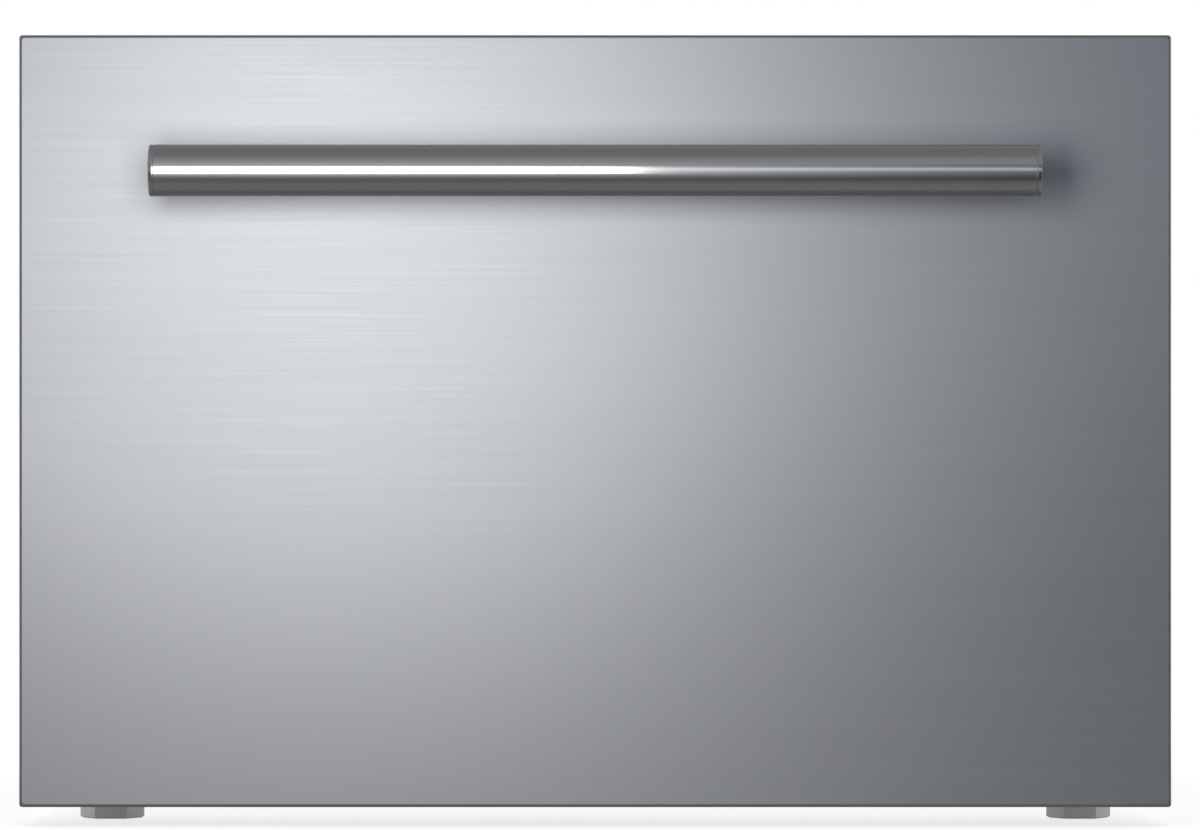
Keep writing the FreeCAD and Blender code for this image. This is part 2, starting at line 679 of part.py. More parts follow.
def front_skin():
    """The folded steel skin: face, four returns and the hem behind them."""
    skin = Piece("front_skin")
    block = skin.sketch("XZ", "front_face")
    frame_outline(block, "front_half", "front_bottom", "front_top")
    skin.pad(block, "front_depth - panel_wall")
    mouth = skin.sketch("XZ", "front_face + front_sheet")
    frame_outline(mouth, *inset("front_hem"))
    skin.pocket(mouth, "front_depth")
    hollow = skin.sketch("XZ", "front_face + front_sheet")
    frame_outline(hollow, *inset("front_sheet"))
    skin.pocket(hollow, "front_depth - panel_wall - 2 * front_sheet")
    holes = skin.sketch("XZ", "front_face")
    for side in ("-1", "1"):
        small_round(holes, f"{side} * post_place", "handle_level", "post_bore")
    skin.pocket(holes, "front_sheet")
    skin.fillet("front_bend", bent_edge)


def inset(distance):
    """Half width, bottom and top of the front, drawn in by a distance."""
    return (
        f"front_half - {distance}",
        f"front_bottom + {distance}",
        f"front_top - {distance}",
    )


def bent_edge(edge):
    """The four edges round the face."""
    middle = edge.CenterOfMass
    sides = near(abs(middle.x), "front_half")
    ends = near(middle.z, "front_bottom") or near(middle.z, "front_top")
    return at(edge, "y", "front_face") and (sides or ends)


def front_panel():
    """The moulded inner panel that closes the drawer front, with its raised middle."""
    panel = Piece("front_panel")
    plate = panel.sketch("XZ", "skin_back")
    frame_outline(plate, *inset("panel_inset"), "plug_corner")
    panel.pad(plate, "panel_wall")
    plug = panel.sketch("XZ", "front_back")
    frame_outline(plug, "plug_half", "plug_low", "plug_top", "plug_corner")
    panel.pad(plug, "plug_depth")
    hollow = panel.sketch("XZ", "skin_back")
    frame_outline(
        hollow,
        "plug_half - panel_wall",
        "plug_low + panel_wall",
        "plug_top - panel_wall",
        "plug_corner - panel_wall",
    )
    panel.pocket(hollow, "plug_depth")
    screws = panel.sketch("XZ", "front_back")
    for side, level in bracket_screw_spots():
        small_round(screws, f"{side} * ear_screw_place", level, "screw_size")
    panel.pocket(screws, "plug_depth")


def bracket_screw_spots():
    """Side and level of each screw that holds a side bracket to the front."""
    levels = ("slide_level - ear_screw_rise", "slide_level + ear_screw_rise")
    return [(side, level) for side in ("-1", "1") for level in levels]


def front_foam():
    """The foam that fills the skin and the raised middle."""
    foam = Piece("front_foam")
    block = foam.sketch("XZ", "front_face + front_sheet")
    frame_outline(block, *inset("front_sheet"))
    foam.pad(block, "front_depth - panel_wall - 2 * front_sheet")
    neck = foam.sketch("XZ", "skin_back - front_sheet")
    frame_outline(neck, *inset("front_hem"))
    foam.pad(neck, "front_sheet")
    plug = foam.sketch("XZ", "skin_back")
    frame_outline(
        plug,
        "plug_half - panel_wall",
        "plug_low + panel_wall",
        "plug_top - panel_wall",
        "plug_corner - panel_wall",
    )
    foam.pad(plug, "plug_depth")
    face = foam.sketch("XZ", "front_face + front_sheet")
    for side in ("-1", "1"):
        box_outline(face, *handle_plate_edges(side))
    foam.pocket(face, "plate_thick + bolt_head")
    rear = foam.sketch("XZ", "plug_back - panel_wall - screw_reach")
    for side in ("-1", "1"):
        box_outline(rear, *ear_plate_edges(side))
    foam.pocket(rear, "screw_reach")
    magnet = foam.sketch("XZ", "front_face + front_sheet + magnet_set")
    box_outline(magnet, *magnet_edges())
    foam.pocket(magnet, "magnet_thick")


def handle_plate_edges(side):
    return (
        f"{side} * post_place - handle_plate / 2",
        "handle_level - handle_plate / 2",
        f"{side} * post_place + handle_plate / 2",
        "handle_level + handle_plate / 2",
    )


def ear_plate_edges(side):
    return (
        f"{side} * ear_screw_place - ear_plate / 2",
        "slide_level - ear_screw_rise - ear_plate / 2",
        f"{side} * ear_screw_place + ear_plate / 2",
        "slide_level + ear_screw_rise + ear_plate / 2",
    )


def magnet_edges():
    return (
        "sensor_place - magnet_long / 2",
        "sensor_level - magnet_high / 2",
        "sensor_place + magnet_long / 2",
        "sensor_level + magnet_high / 2",
    )


def front_plates():
    """Steel plates in the foam: two behind the handle, two behind the brackets."""
    plates = Piece("front_plates", loose=True)
    near_face = plates.sketch("XZ", "front_face + front_sheet")
    for side in ("-1", "1"):
        box_outline(near_face, *handle_plate_edges(side))
        small_round(near_face, f"{side} * post_place", "handle_level", "post_bore")
    plates.pad(near_face, "plate_thick")
    near_plug = plates.sketch("XZ", "plug_back - panel_wall - plate_thick")
    for side in ("-1", "1"):
        box_outline(near_plug, *ear_plate_edges(side))
    for side, level in bracket_screw_spots():
        small_round(near_plug, f"{side} * ear_screw_place", level, "screw_size")
    plates.pad(near_plug, "plate_thick")


def door_magnet():
    """The magnet that tells the cabinet's sensor that the drawer is shut."""
    magnet = Piece("door_magnet")
    bar = magnet.sketch("XZ", "front_face + front_sheet + magnet_set")
    box_outline(bar, *magnet_edges())
    magnet.pad(bar, "magnet_thick")


def gasket():
    """The magnetic gasket: a bellows strip round the inner panel, mitred at the corners."""
    gasket = Piece("gasket")
    path = gasket.sketch("XZ", "front_back")
    frame_outline(path, "gasket_half", "gasket_low", "gasket_top")
    strip = gasket.sketch("YZ")
    wide = "gasket_wide / 2"
    lip = "front_back + gasket_high"
    shape = [
        ("front_back", f"gasket_top - {wide}"),
        ("front_back + gasket_base", f"gasket_top - {wide}"),
        ("front_back + gasket_base * 2", f"gasket_top - {wide} + gasket_waist"),
        ("front_back + gasket_base * 3", f"gasket_top - {wide}"),
        (lip, f"gasket_top - {wide}"),
        (lip, f"gasket_top + {wide}"),
        ("front_back + gasket_base * 3", f"gasket_top + {wide}"),
        ("front_back + gasket_base * 2", f"gasket_top + {wide} - gasket_waist"),
        ("front_back + gasket_base", f"gasket_top + {wide}"),
        ("front_back", f"gasket_top + {wide}"),
    ]
    outline(strip, shape)
    gasket.sweep(path, strip)


def handle_bar():
    """The handle tube, with a threaded hole behind each post."""
    bar = Piece("handle_bar")
    tube = bar.sketch("YZ")
    circle(tube, "handle_axis", "handle_level", "handle_size")
    circle(tube, "handle_axis", "handle_level", "handle_size - 2 * handle_wall")
    bar.pad(tube, "handle_length - 2 * handle_cap", both=True)
    holes = bar.sketch("XZ", "handle_axis")
    for side in ("-1", "1"):
        small_round(holes, f"{side} * post_place", "handle_level", "bolt_size")
    bar.pocket(holes, "handle_size")


def handle_caps():
    """Two end caps: a bevelled head and a spigot inside the tube."""
    caps = Piece("handle_caps", y="case_front + handle_axis", z="handle_level", loose=True)
    for side in ("-1", "1"):
        half = caps.sketch("XY")
        end = f"{side} * handle_length / 2"
        shoulder = f"{side} * (handle_length / 2 - handle_cap)"
        inner = f"{side} * (handle_length / 2 - handle_cap - cap_spigot)"
        bevel = f"{side} * (handle_length / 2 - handle_cap_bevel)"
        shape = [
            (inner, "0"),
            (end, "0"),
            (end, "handle_size / 2 - handle_cap_bevel"),
            (bevel, "handle_size / 2"),
            (shoulder, "handle_size / 2"),
            (shoulder, "handle_size / 2 - handle_wall"),
            (inner, "handle_size / 2 - handle_wall"),
        ]
        outline(half, shape)
        caps.turn(half, "X")


def handle_posts():
    """Two posts, flat on the face and hollowed to sit on the tube."""
    posts = Piece("handle_posts", loose=True)
    rods = posts.sketch("XZ", "handle_axis")
    for side in ("-1", "1"):
        circle(rods, f"{side} * post_place", "handle_level", "post_size")
        small_round(rods, f"{side} * post_place", "handle_level", "post_bore")
    posts.pad(rods, "handle_standoff")
    saddle = posts.sketch("YZ")
    circle(saddle, "handle_axis", "handle_level", "handle_size")
    posts.pocket(saddle, "handle_length", both=True)


def drawer_screws():
    """The handle's two bolts, and the screws of the side brackets."""
    screws = Piece("drawer_screws", loose=True)
    heads = screws.sketch("XZ", "front_face + front_sheet + plate_thick")
    shanks = screws.sketch("XZ", "handle_axis + handle_size / 2 - bolt_bite")
    for side in ("-1", "1"):
        small_round(heads, f"{side} * post_place", "handle_level", "2 * bolt_size")
        small_round(shanks, f"{side} * post_place", "handle_level", "bolt_size")
    screws.pad(heads, "bolt_head")
    reach = "handle_standoff - handle_size / 2 + bolt_bite + front_sheet + plate_thick"
    screws.pad(shanks, reach)
    heads = screws.sketch("XZ", "plug_back + bracket_sheet")
    shanks = screws.sketch("XZ", "plug_back - panel_wall - screw_reach")
    for side, level in bracket_screw_spots():
        small_round(heads, f"{side} * ear_screw_place", level, "screw_head")
        small_round(shanks, f"{side} * ear_screw_place", level, "screw_size")
    screws.pad(heads, "screw_head_high")
    screws.pad(shanks, "screw_reach + panel_wall + bracket_sheet")
    for side in ("-1", "1"):
        rail_screws(screws, side)


def rail_screws(screws, side):
    """The screws that hold a slide's drawer member to its side bracket."""
    inward = "-1" if side == "1" else "1"
    web = f"{side} * (rail_inner_face + rail_sheet)"
    sheet = f"{side} * (rail_inner_face - bracket_sheet)"
    shanks = screws.sketch("YZ", f"min({web}; {sheet})")
    heads = screws.sketch("YZ", f"min({sheet}; {sheet} + ({inward}) * screw_head_high)")
    for depth in rail_screw_depths():
        small_round(shanks, depth, "slide_level", "screw_size")
        small_round(heads, depth, "slide_level", "screw_head")
    screws.pad(shanks, "rail_sheet + bracket_sheet")
    screws.pad(heads, "screw_head_high")


def rail_screw_depths():
    """Depths along a slide, behind the cabinet's front plane, of its screws."""
    return [
        "slide_setback + rail_screw_end",
        "slide_setback + rail_long / 2",
        "slide_setback + rail_long - rail_screw_end",
    ]


def slide_piece(name, side, setback="slide_setback", loose=False):
    """A body whose x runs inward from the liner's wall on its own side."""
    return Piece(
        f"{name}_{side}",
        x="-opening_half" if side == "left" else "opening_half",
        y=f"case_front + {setback}",
        z="slide_level",
        turned=side == "right",
        loose=loose,
    )


def races(rail, across, up, length):
    """Cut the two ball grooves of one row of balls, above and below."""
    groove = rail.sketch("XZ")
    polygon(groove, across, up, "ball_size + 2 * race_play", 8)
    polygon(groove, across, f"-({up})", "ball_size + 2 * race_play", 8)
    rail.pocket(groove, length)


def slide_outer(side):
    """Cabinet member: the widest channel, its lips turned in over the balls."""
    rail = slide_piece("slide_outer", side)
    channel = rail.sketch("XZ")
    inner = "rail_half - rail_sheet"
    lip = "rail_lip_reach - rail_lip"
    shape = [
        ("0", "-rail_half", "rail_bend"),
        ("rail_lip_reach", "-rail_half", "rail_lip"),
        ("rail_lip_reach", "-rail_lip_level"),
        (lip, "-rail_lip_level"),
        (lip, f"-({inner})"),
        ("rail_sheet", f"-({inner})"),
        ("rail_sheet", inner),
        (lip, inner),
        (lip, "rail_lip_level"),
        ("rail_lip_reach", "rail_lip_level"),
        ("rail_lip_reach", "rail_half", "rail_lip"),
        ("0", "rail_half", "rail_bend"),
    ]
    outline(channel, shape)
    rail.pad(channel, "rail_long")
    races(rail, "outer_ball_across", "outer_ball_up", "rail_long")
    holes = rail.sketch("YZ")
    for depth in rail_screw_depths():
        small_round(holes, f"{depth} - slide_setback", "0", "screw_size")
    rail.pocket(holes, "rail_sheet")


def slide_middle(side):
    """Middle member: a channel with ball grooves on both faces of its flanges."""
    rail = slide_piece("slide_middle", side, "middle_setback")
    channel = rail.sketch("XZ")
    inner = "middle_web + rail_sheet"
    shape = [
        ("middle_web", "-middle_top", "rail_bend"),
        ("middle_reach", "-middle_top"),
        ("middle_reach", "-middle_under"),
        (inner, "-middle_under"),
        (inner, "middle_under"),
        ("middle_reach", "middle_under"),
        ("middle_reach", "middle_top"),
        ("middle_web", "middle_top", "rail_bend"),
    ]
    outline(channel, shape)
    rail.pad(channel, "middle_long")
    races(rail, "outer_ball_across", "outer_ball_up", "middle_long")
    races(rail, "inner_ball_across", "inner_ball_up", "middle_long")


def slide_inner(side):
    """Drawer member: the narrow channel that the drawer is screwed to."""
    rail = slide_piece("slide_inner", side)
    channel = rail.sketch("XZ")
    web = "rail_wide - rail_sheet"
    shape = [
        ("inner_reach", "-inner_top"),
        ("rail_wide", "-inner_top", "rail_bend"),
        ("rail_wide", "inner_top", "rail_bend"),
        ("inner_reach", "inner_top"),
        ("inner_reach", "inner_under"),
        (web, "inner_under"),
        (web, "-inner_under"),
        ("inner_reach", "-inner_under"),
    ]
    outline(channel, shape)
    rail.pad(channel, "rail_long")
    races(rail, "inner_ball_across", "inner_ball_up", "rail_long")
    holes = rail.sketch("YZ", "rail_wide - rail_sheet")
    for depth in rail_screw_depths():
        small_round(holes, f"{depth} - slide_setback", "0", "screw_size")
    rail.pocket(holes, "rail_sheet")


def ball_cage(name, side, across, up, web, reach):
    """A bent strip with a window for each ball, and its two rows of balls."""
    cage = slide_piece(name, side, "cage_setback", loose=True)
    for level in (up, f"-({up})"):
        ball = cage.sketch("XZ", "ball_inset - ball_size / 2")
        polygon(ball, across, level, "ball_size", 8)
        cage.pad(ball, "2 * ball_size / 2")
    cage.row([], "Y", "ball_pitch", "ball_count", whole=True)
    for level in (up, f"-({up})"):
        strip = cage.sketch("XY", f"{level} - cage_sheet / 2")
        box_outline(strip, web, "0", reach, "cage_long")
        for number in range(round(value("ball_count"))):
            spot = f"(ball_inset + {number} * ball_pitch)"
            half = "(ball_size / 2 + race_play)"
            box_outline(
                strip,
                f"{across} - {half}",
                f"{spot} - {half}",
                f"{across} + {half}",
                f"{spot} + {half}",
            )
        cage.pad(strip, "cage_sheet")
    back = cage.sketch("XY", f"-({up})")
    box_outline(back, web, "0", f"{web} + cage_sheet", "cage_long")
    cage.pad(back, f"2 * ({up})")


def side_bracket(side):
    """The folded bracket between a slide and the bin, with an ear for the front."""
    sign = "-1" if side == "left" else "1"
    bracket = Piece(f"side_bracket_{side}")
    outer = f"{sign} * rail_inner_face"
    inner = f"{sign} * (rail_inner_face - bracket_sheet)"
    web = bracket.sketch("XZ", "plug_back")
    shape = [
        (outer, "bracket_low"),
        (outer, "bin_top - bin_rim"),
        (f"{sign} * (rail_inner_face - bracket_shelf)", "bin_top - bin_rim"),
        (f"{sign} * (rail_inner_face - bracket_shelf)", "bin_top - bin_rim - bracket_sheet"),
        (inner, "bin_top - bin_rim - bracket_sheet"),
        (inner, "bracket_low"),
    ]
    outline(web, shape)
    bracket.pad(web, "slide_setback + rail_long - plug_back")
    ear = bracket.sketch("XZ", "plug_back")
    low, high = "slide_level - ear_half", "slide_level + ear_half"
    tip = f"{sign} * (rail_inner_face - ear_reach)"
    outline(ear, [(outer, low), (outer, high), (tip, high, "ear_corner"), (tip, low, "ear_corner")])
    bracket.pad(ear, "bracket_sheet")
    holes = bracket.sketch("XZ", "plug_back")
    for spot, level in bracket_screw_spots():
        if spot == sign:
            small_round(holes, f"{sign} * ear_screw_place", level, "screw_size")
    bracket.pocket(holes, "bracket_sheet")
    rail_holes = bracket.sketch("YZ", f"min({outer}; {inner})")
    for depth in rail_screw_depths():
        small_round(rail_holes, depth, "slide_level", "screw_size")
    bracket.pocket(rail_holes, "bracket_sheet")
    slots = bracket.sketch("YZ", f"min({outer}; {inner})")
    box_outline(
        slots,
        "slide_setback + rail_screw_end + bracket_rib",
        "slide_level + rail_half + bracket_rib",
        "slide_setback + rail_long / 2 - bracket_rib / 2",
        "bin_top - bin_rim - bracket_rib",
    )
    box_outline(
        slots,
        "slide_setback + rail_long / 2 + bracket_rib / 2",
        "slide_level + rail_half + bracket_rib",
        "slide_setback + rail_long - rail_screw_end - bracket_rib",
        "bin_top - bin_rim - bracket_rib",
    )
    bracket.pocket(slots, "bracket_sheet")


def bin_tub():
    """The drawer's tub, stepped over the machine compartment, hung by its rim."""
    tub = Piece("bin")
    body = tub.sketch("YZ")
    outline(body, tub_side("0"))
    tub.pad(body, "2 * bin_half", both=True)
    rim = tub.sketch("XY", "bin_top - bin_rim")
    reach = "bin_rim_reach"
    frame = (f"-(bin_half + {reach})", "bin_front", f"bin_half + {reach}", f"bin_back + {reach}")
    box_outline(rim, *frame, "bin_corner / 2")
    tub.pad(rim, "bin_rim")
    hollow = tub.sketch("YZ")
    outline(hollow, tub_side("bin_wall"))
    tub.pocket(hollow, "2 * (bin_half - bin_wall)", both=True)
    tub.fillet("bin_corner", outer_tub_edge)
    tub.fillet("bin_corner - bin_wall", inner_tub_edge)


def tub_side(wall):
    """The tub seen from the side, drawn in by a wall; the hollow runs out at the top."""
    top = "bin_top" if wall == "0" else "bin_top + bin_wall"
    return [
        (f"bin_front + {wall}", f"bin_low + {wall}"),
        (f"bin_step - {wall}", f"bin_low + {wall}"),
        (f"bin_step - {wall}", f"bin_shelf + {wall}"),
        (f"bin_back - {wall}", f"bin_shelf + {wall}"),
        (f"bin_back - {wall}", top),
        (f"bin_front + {wall}", top),
    ]


def outer_tub_edge(edge):
    """Upright edges of the tub's outside."""
    return tub_edge(edge, "bin_half", "0")


def inner_tub_edge(edge):
    """Upright edges of the tub's inside."""
    return tub_edge(edge, "bin_half - bin_wall", "bin_wall")


def tub_edge(edge, half, wall):
    middle = edge.CenterOfMass
    ends = [vertex.Point for vertex in edge.Vertexes]
    if len(ends) < 2 or not isinstance(edge.Curve, Part.Line):
        return False
    if min(point.z for point in ends) > value("bin_top - bin_rim") - SAME:
        return False
    depths = [f"bin_front + {wall}", f"bin_step - {wall}", f"bin_back - {wall}"]
    on_corner = any(near(middle.y, depth) for depth in depths)
    return along(edge, "z") and on_corner and near(abs(middle.x), half)


def front_frame():
    """The steel frame round the opening that the gasket closes on."""
    frame = Piece("front_frame")
    ring = frame.sketch("XZ")
    frame_outline(ring, "case_half", "case_bottom", "case_top", "case_corner")
    frame_outline(ring, "opening_half", "opening_bottom", "opening_top", "liner_bend")
    frame.pad(ring, "frame_sheet")


def outer_wrapper():
    """One sheet folded over the top and down both sides."""
    wrapper = Piece("outer_wrapper")
    fold = wrapper.sketch("XZ", "frame_sheet")
    inner_bend = "case_corner - case_sheet"
    shape = [
        ("-case_half", "case_bottom"),
        ("-case_inside", "case_bottom"),
        ("-case_inside", "case_top - case_sheet", inner_bend),
        ("case_inside", "case_top - case_sheet", inner_bend),
        ("case_inside", "case_bottom"),
        ("case_half", "case_bottom"),
        ("case_half", "case_top", "case_corner"),
        ("-case_half", "case_top", "case_corner"),
    ]
    outline(fold, shape)
    wrapper.pad(fold, "case_depth - frame_sheet")


def rear_panel():
    """The back sheet, with air slots low down and the cut-out for the power inlet."""
    panel = Piece("rear_panel")
    plate = panel.sketch("XZ", "back_inside")
    top = "case_top - case_sheet"
    frame_outline(plate, "case_inside", "pan_top", top, "case_corner")
    box_outline(plate, *inlet_edges("inlet_play"))
    panel.pad(plate, "case_sheet")
    for start in ("intake_place", "outlet_place"):
        slot = panel.sketch("XZ", "back_inside")
        box_outline(
            slot,
            start,
            "vent_low",
            f"{start} + vent_long",
            "vent_low + vent_high",
        )
        slot = panel.pocket(slot, "case_sheet")
        panel.row([slot], "Z", "vent_pitch", "vent_count")


def inlet_edges(play="0"):
    return (
        f"inlet_place - inlet_wide / 2 - {play}",
        f"inlet_level - inlet_high / 2 - {play}",
        f"inlet_place + inlet_wide / 2 + {play}",
        f"inlet_level + inlet_high / 2 + {play}",
    )


def foot_spots():
    """Across, depth and name of each foot."""
    fronts = (("front", "foot_inset"), ("rear", "case_depth - foot_inset"))
    sides = (("left", "-(case_half - foot_inset)"), ("right", "case_half - foot_inset"))
    return [(x, y, f"{end}_{side}") for end, y in fronts for side, x in sides]


def base_pan():
    """The base: a pan with upturned edges, weld nuts for the feet and air slots."""
    pan = Piece("base_pan")
    tray = pan.sketch("XY", "case_bottom")
    frame_outline(tray, "case_inside", "frame_sheet", "case_depth")
    pan.pad(tray, "pan_sheet")
    lips = pan.sketch("YZ")
    front = "frame_sheet"
    box_outline(lips, front, "case_bottom", f"{front} + pan_sheet", "pan_top + pan_lip")
    pan.pad(lips, "2 * case_inside", both=True)
    nuts = pan.sketch("XY", "pan_top")
    for x, y, name in foot_spots():
        small_round(nuts, x, y, "foot_nut")
    pan.pad(nuts, "foot_nut_high")
    holes = pan.sketch("XY", "case_bottom")
    for x, y, name in foot_spots():
        large_round(holes, x, y, "foot_stud + 2 * foot_play")
    pan.pocket(holes, "pan_sheet + foot_nut_high")
    slot = pan.sketch("XY", "case_bottom")
    box_outline(
        slot,
        "condenser_place - condenser_wide / 2",
        "engine_front + vent_pitch * 2",
        "condenser_place + condenser_wide / 2",
        "engine_front + vent_pitch * 2 + vent_high",
    )
    slot = pan.pocket(slot, "pan_sheet")
    pan.row([slot], "Y", "vent_pitch", "pan_vent_count")


def foot(x, y, name):
    """A levelling foot: a stud on a hexagonal base that a spanner turns."""
    foot = Piece(f"foot_{name}", x=x, y=f"case_front + {y}")
    hexagon = foot.sketch("XY")
    corners = []
    for step in range(6):
        angle = 60 * step
        corners.append((f"foot_size / 2 * cos({angle})", f"foot_size / 2 * sin({angle})"))
    outline(hexagon, corners)
    foot.pad(hexagon, "foot_base")
    foot.chamfer("foot_bevel", lambda edge: at(edge, "z", "0"))
    stud = foot.sketch("XY", "foot_base")
    large_round(stud, "0", "0", "foot_stud")
    foot.pad(stud, "foot_stud_top - foot_base")


def engine_bulkhead():
    """The folded sheet that roofs and fronts the machine compartment."""
    sheet_fold = Piece("engine_bulkhead")
    fold = sheet_fold.sketch("YZ")
    shape = [
        ("engine_front", "pan_top"),
        ("engine_front + case_sheet", "pan_top"),
        ("engine_front + case_sheet", "engine_top - case_sheet"),
        ("back_inside", "engine_top - case_sheet"),
        ("back_inside", "engine_top"),
        ("engine_front", "engine_top"),
    ]
    outline(fold, shape)
    sheet_fold.pad(fold, "2 * case_inside", both=True)
    drain = sheet_fold.sketch("XY", "engine_top - case_sheet")
    small_round(drain, "drain_place", "drain_depth", "drain_size")
    for place in tube_places():
        small_round(drain, place, "tube_entry", "tube_size")
    sheet_fold.pocket(drain, "case_sheet")


def tube_places():
    return ("suction_place", "suction_place + tube_gap")


def liner_side(wall):
    """The cabinet's inside seen from the side, grown outward by a wall."""
    front = "frame_sheet"
    bend = f"liner_bend + {wall}"
    hollow = f"liner_bend - {wall}"
    return [
        (front, f"opening_bottom - {wall}"),
        (f"hump_depth + {wall}", f"opening_bottom - {wall}", bend),
        (f"hump_depth + {wall}", f"hump_top - {wall}", hollow),
        (f"liner_depth + {wall}", f"hump_top - {wall}", bend),
        (f"liner_depth + {wall}", f"opening_top + {wall}", bend),
        (front, f"opening_top + {wall}"),
    ]


def inner_liner():
    """The moulded liner, stepped over the machine compartment."""
    liner = Piece("inner_liner")
    block = liner.sketch("YZ")
    outline(block, liner_side("liner_wall"))
    liner.pad(block, "2 * (opening_half + liner_wall)", both=True)
    flange = liner.sketch("XZ", "frame_sheet")
    frame_outline(flange, *flange_edges())
    liner.pad(flange, "liner_wall")
    hollow = liner.sketch("YZ")
    outline(hollow, liner_side("0"))
    liner.pocket(hollow, "2 * opening_half", both=True)
    holes = liner.sketch("YZ")
    for depth in rail_screw_depths():
        small_round(holes, depth, "slide_level", "screw_size")
    liner.pocket(holes, "2 * (opening_half + liner_wall)", both=True)
    drain = liner.sketch("XY", "hump_top - liner_wall")
    small_round(drain, "drain_place", "drain_depth", "drain_size")
    for place in tube_places():
        small_round(drain, place, "tube_entry", "tube_size")
    liner.pocket(drain, "liner_wall")


def flange_edges():
    return (
        "opening_half + liner_flange",
        "opening_bottom - liner_flange",
        "opening_top + liner_flange",
    )


def cabinet_foam():
    """The insulation between the wrapper, the liner and the machine compartment."""
    foam = Piece("cabinet_foam")
    block = foam.sketch("XZ", "frame_sheet")
    inner_bend = "case_corner - case_sheet"
    top = "case_top - case_sheet"
    shape = [
        ("-case_inside", "pan_top"),
        ("case_inside", "pan_top"),
        ("case_inside", top, inner_bend),
        ("-case_inside", top, inner_bend),
    ]
    outline(block, shape)
    foam.pad(block, "back_inside - frame_sheet")
    lip = foam.sketch("YZ")
    front = "frame_sheet"
    box_outline(lip, front, "pan_top", f"{front} + pan_sheet", "pan_top + pan_lip")
    foam.pocket(lip, "2 * case_inside", both=True)
    nuts = foam.sketch("XY", "pan_top")
    for x, y, name in foot_spots():
        small_round(nuts, x, y, "foot_nut")
    foam.pocket(nuts, "foot_nut_high + foot_stud_room")
    engine = foam.sketch("YZ")
    box_outline(engine, "engine_front", "pan_top", "case_depth", "engine_top")
    foam.pocket(engine, "4 * case_half", both=True)
    hollow = foam.sketch("YZ")
    outline(hollow, liner_side("liner_wall"))
    foam.pocket(hollow, "2 * (opening_half + liner_wall)", both=True)
    flange = foam.sketch("XZ", "frame_sheet")
    frame_outline(flange, *flange_edges())
    foam.pocket(flange, "liner_wall")
    screws = foam.sketch("YZ")
    for depth in rail_screw_depths():
        small_round(screws, depth, "slide_level", "screw_size")
    foam.pocket(screws, "2 * (opening_half + rail_anchor)", both=True)
    sensor = foam.sketch("XZ", "frame_sheet")
    box_outline(sensor, *magnet_edges())
    foam.pocket(sensor, "sensor_thick")
    drain = foam.sketch("XY", "engine_top")
    small_round(drain, "drain_place", "drain_depth", "drain_size")
    for place in tube_places():
        small_round(drain, place, "tube_entry", "tube_size")
    foam.pocket(drain, "hump_top - liner_wall - engine_top")


def cabinet_sensor():
    """The reed switch behind the front frame."""
    sensor = Piece("door_sensor")
    case = sensor.sketch("XZ", "frame_sheet")
    box_outline(case, *magnet_edges())
    sensor.pad(case, "sensor_thick")


def mounting_brackets():
    """Two flat steel tabs welded on the cabinet's top, to screw up into a worktop."""
    tabs = Piece("mounting_brackets", loose=True)
    plate = tabs.sketch("XY", "case_top")
    for sign in ("-1", "1"):
        middle = f"{sign} * mount_place"
        box_outline(
            plate,
            f"{middle} - mount_wide / 2",
            "mount_set",
            f"{middle} + mount_wide / 2",
            "mount_set + mount_long",
        )
        for step in ("-1", "1"):
            across = f"{middle} + {step} * mount_pitch / 2"
            circle(plate, across, "mount_set + mount_hole_set", "mount_hole")
    tabs.pad(plate, "mount_sheet")


def slide_screws():
    """Screws that hold the slides' cabinet members to the liner."""
    screws = Piece("slide_screws", loose=True)
    for sign in ("-1", "1"):
        start = f"min({sign} * opening_half; {sign} * (opening_half + rail_anchor))"
        shanks = screws.sketch("YZ", start)
        heads = screws.sketch("YZ", f"min({sign} * opening_half; {sign} * rail_web_face)")
        for depth in rail_screw_depths():
            small_round(shanks, depth, "slide_level", "screw_size")
            small_round(heads, depth, "slide_level", "screw_size")
        screws.pad(shanks, "rail_anchor")
        screws.pad(heads, "rail_sheet")


def compressor():
    """The sealed compressor: a can with sloped ends and a seam, on its plate."""
    can = Piece("compressor", x="compressor_place", y="case_front + compressor_depth")
    shell = can.sketch("XY", "compressor_low")
    large_round(shell, "0", "0", "compressor_size")
    can.pad(shell, "compressor_high")
    can.chamfer("compressor_slope", lambda edge: not along(edge, "z"))
    seam = can.sketch("XY", "compressor_low + compressor_high / 2")
    large_round(seam, "0", "0", "compressor_size + 2 * seam_reach")
    can.pad(seam, "seam_high")
    plate = can.sketch("XY", "pan_top + grommet_high")
    half_x, half_y = "mount_plate_wide / 2", "mount_plate_deep / 2"
    box_outline(plate, f"-{half_x}", f"-{half_y}", half_x, half_y)
    for x, y in grommet_spots():
        small_round(plate, x, y, "grommet_waist")
    can.pad(plate, "compressor_low + compressor_slope / 3 - pan_top - grommet_high")


def grommet_spots():
    """Corners of the compressor's mounting plate."""
    x, y = "(mount_plate_wide / 2 - grommet_inset)", "(mount_plate_deep / 2 - grommet_inset)"
    return [(f"{a} * {x}", f"{b} * {y}") for a in ("-1", "1") for b in ("-1", "1")]


def compressor_grommets():
    """Four rubber grommets under the compressor's plate."""
    place = {"x": "compressor_place", "y": "case_front + compressor_depth"}
    grommets = Piece("compressor_grommets", loose=True, **place)
    base = grommets.sketch("XY", "pan_top")
    waist = grommets.sketch("XY", "pan_top + grommet_high")
    for x, y in grommet_spots():
        small_round(base, x, y, "grommet_size")
        small_round(waist, x, y, "grommet_waist")
    grommets.pad(base, "grommet_high")
    grommets.pad(waist, "compressor_low + compressor_slope / 3 - pan_top - grommet_high")


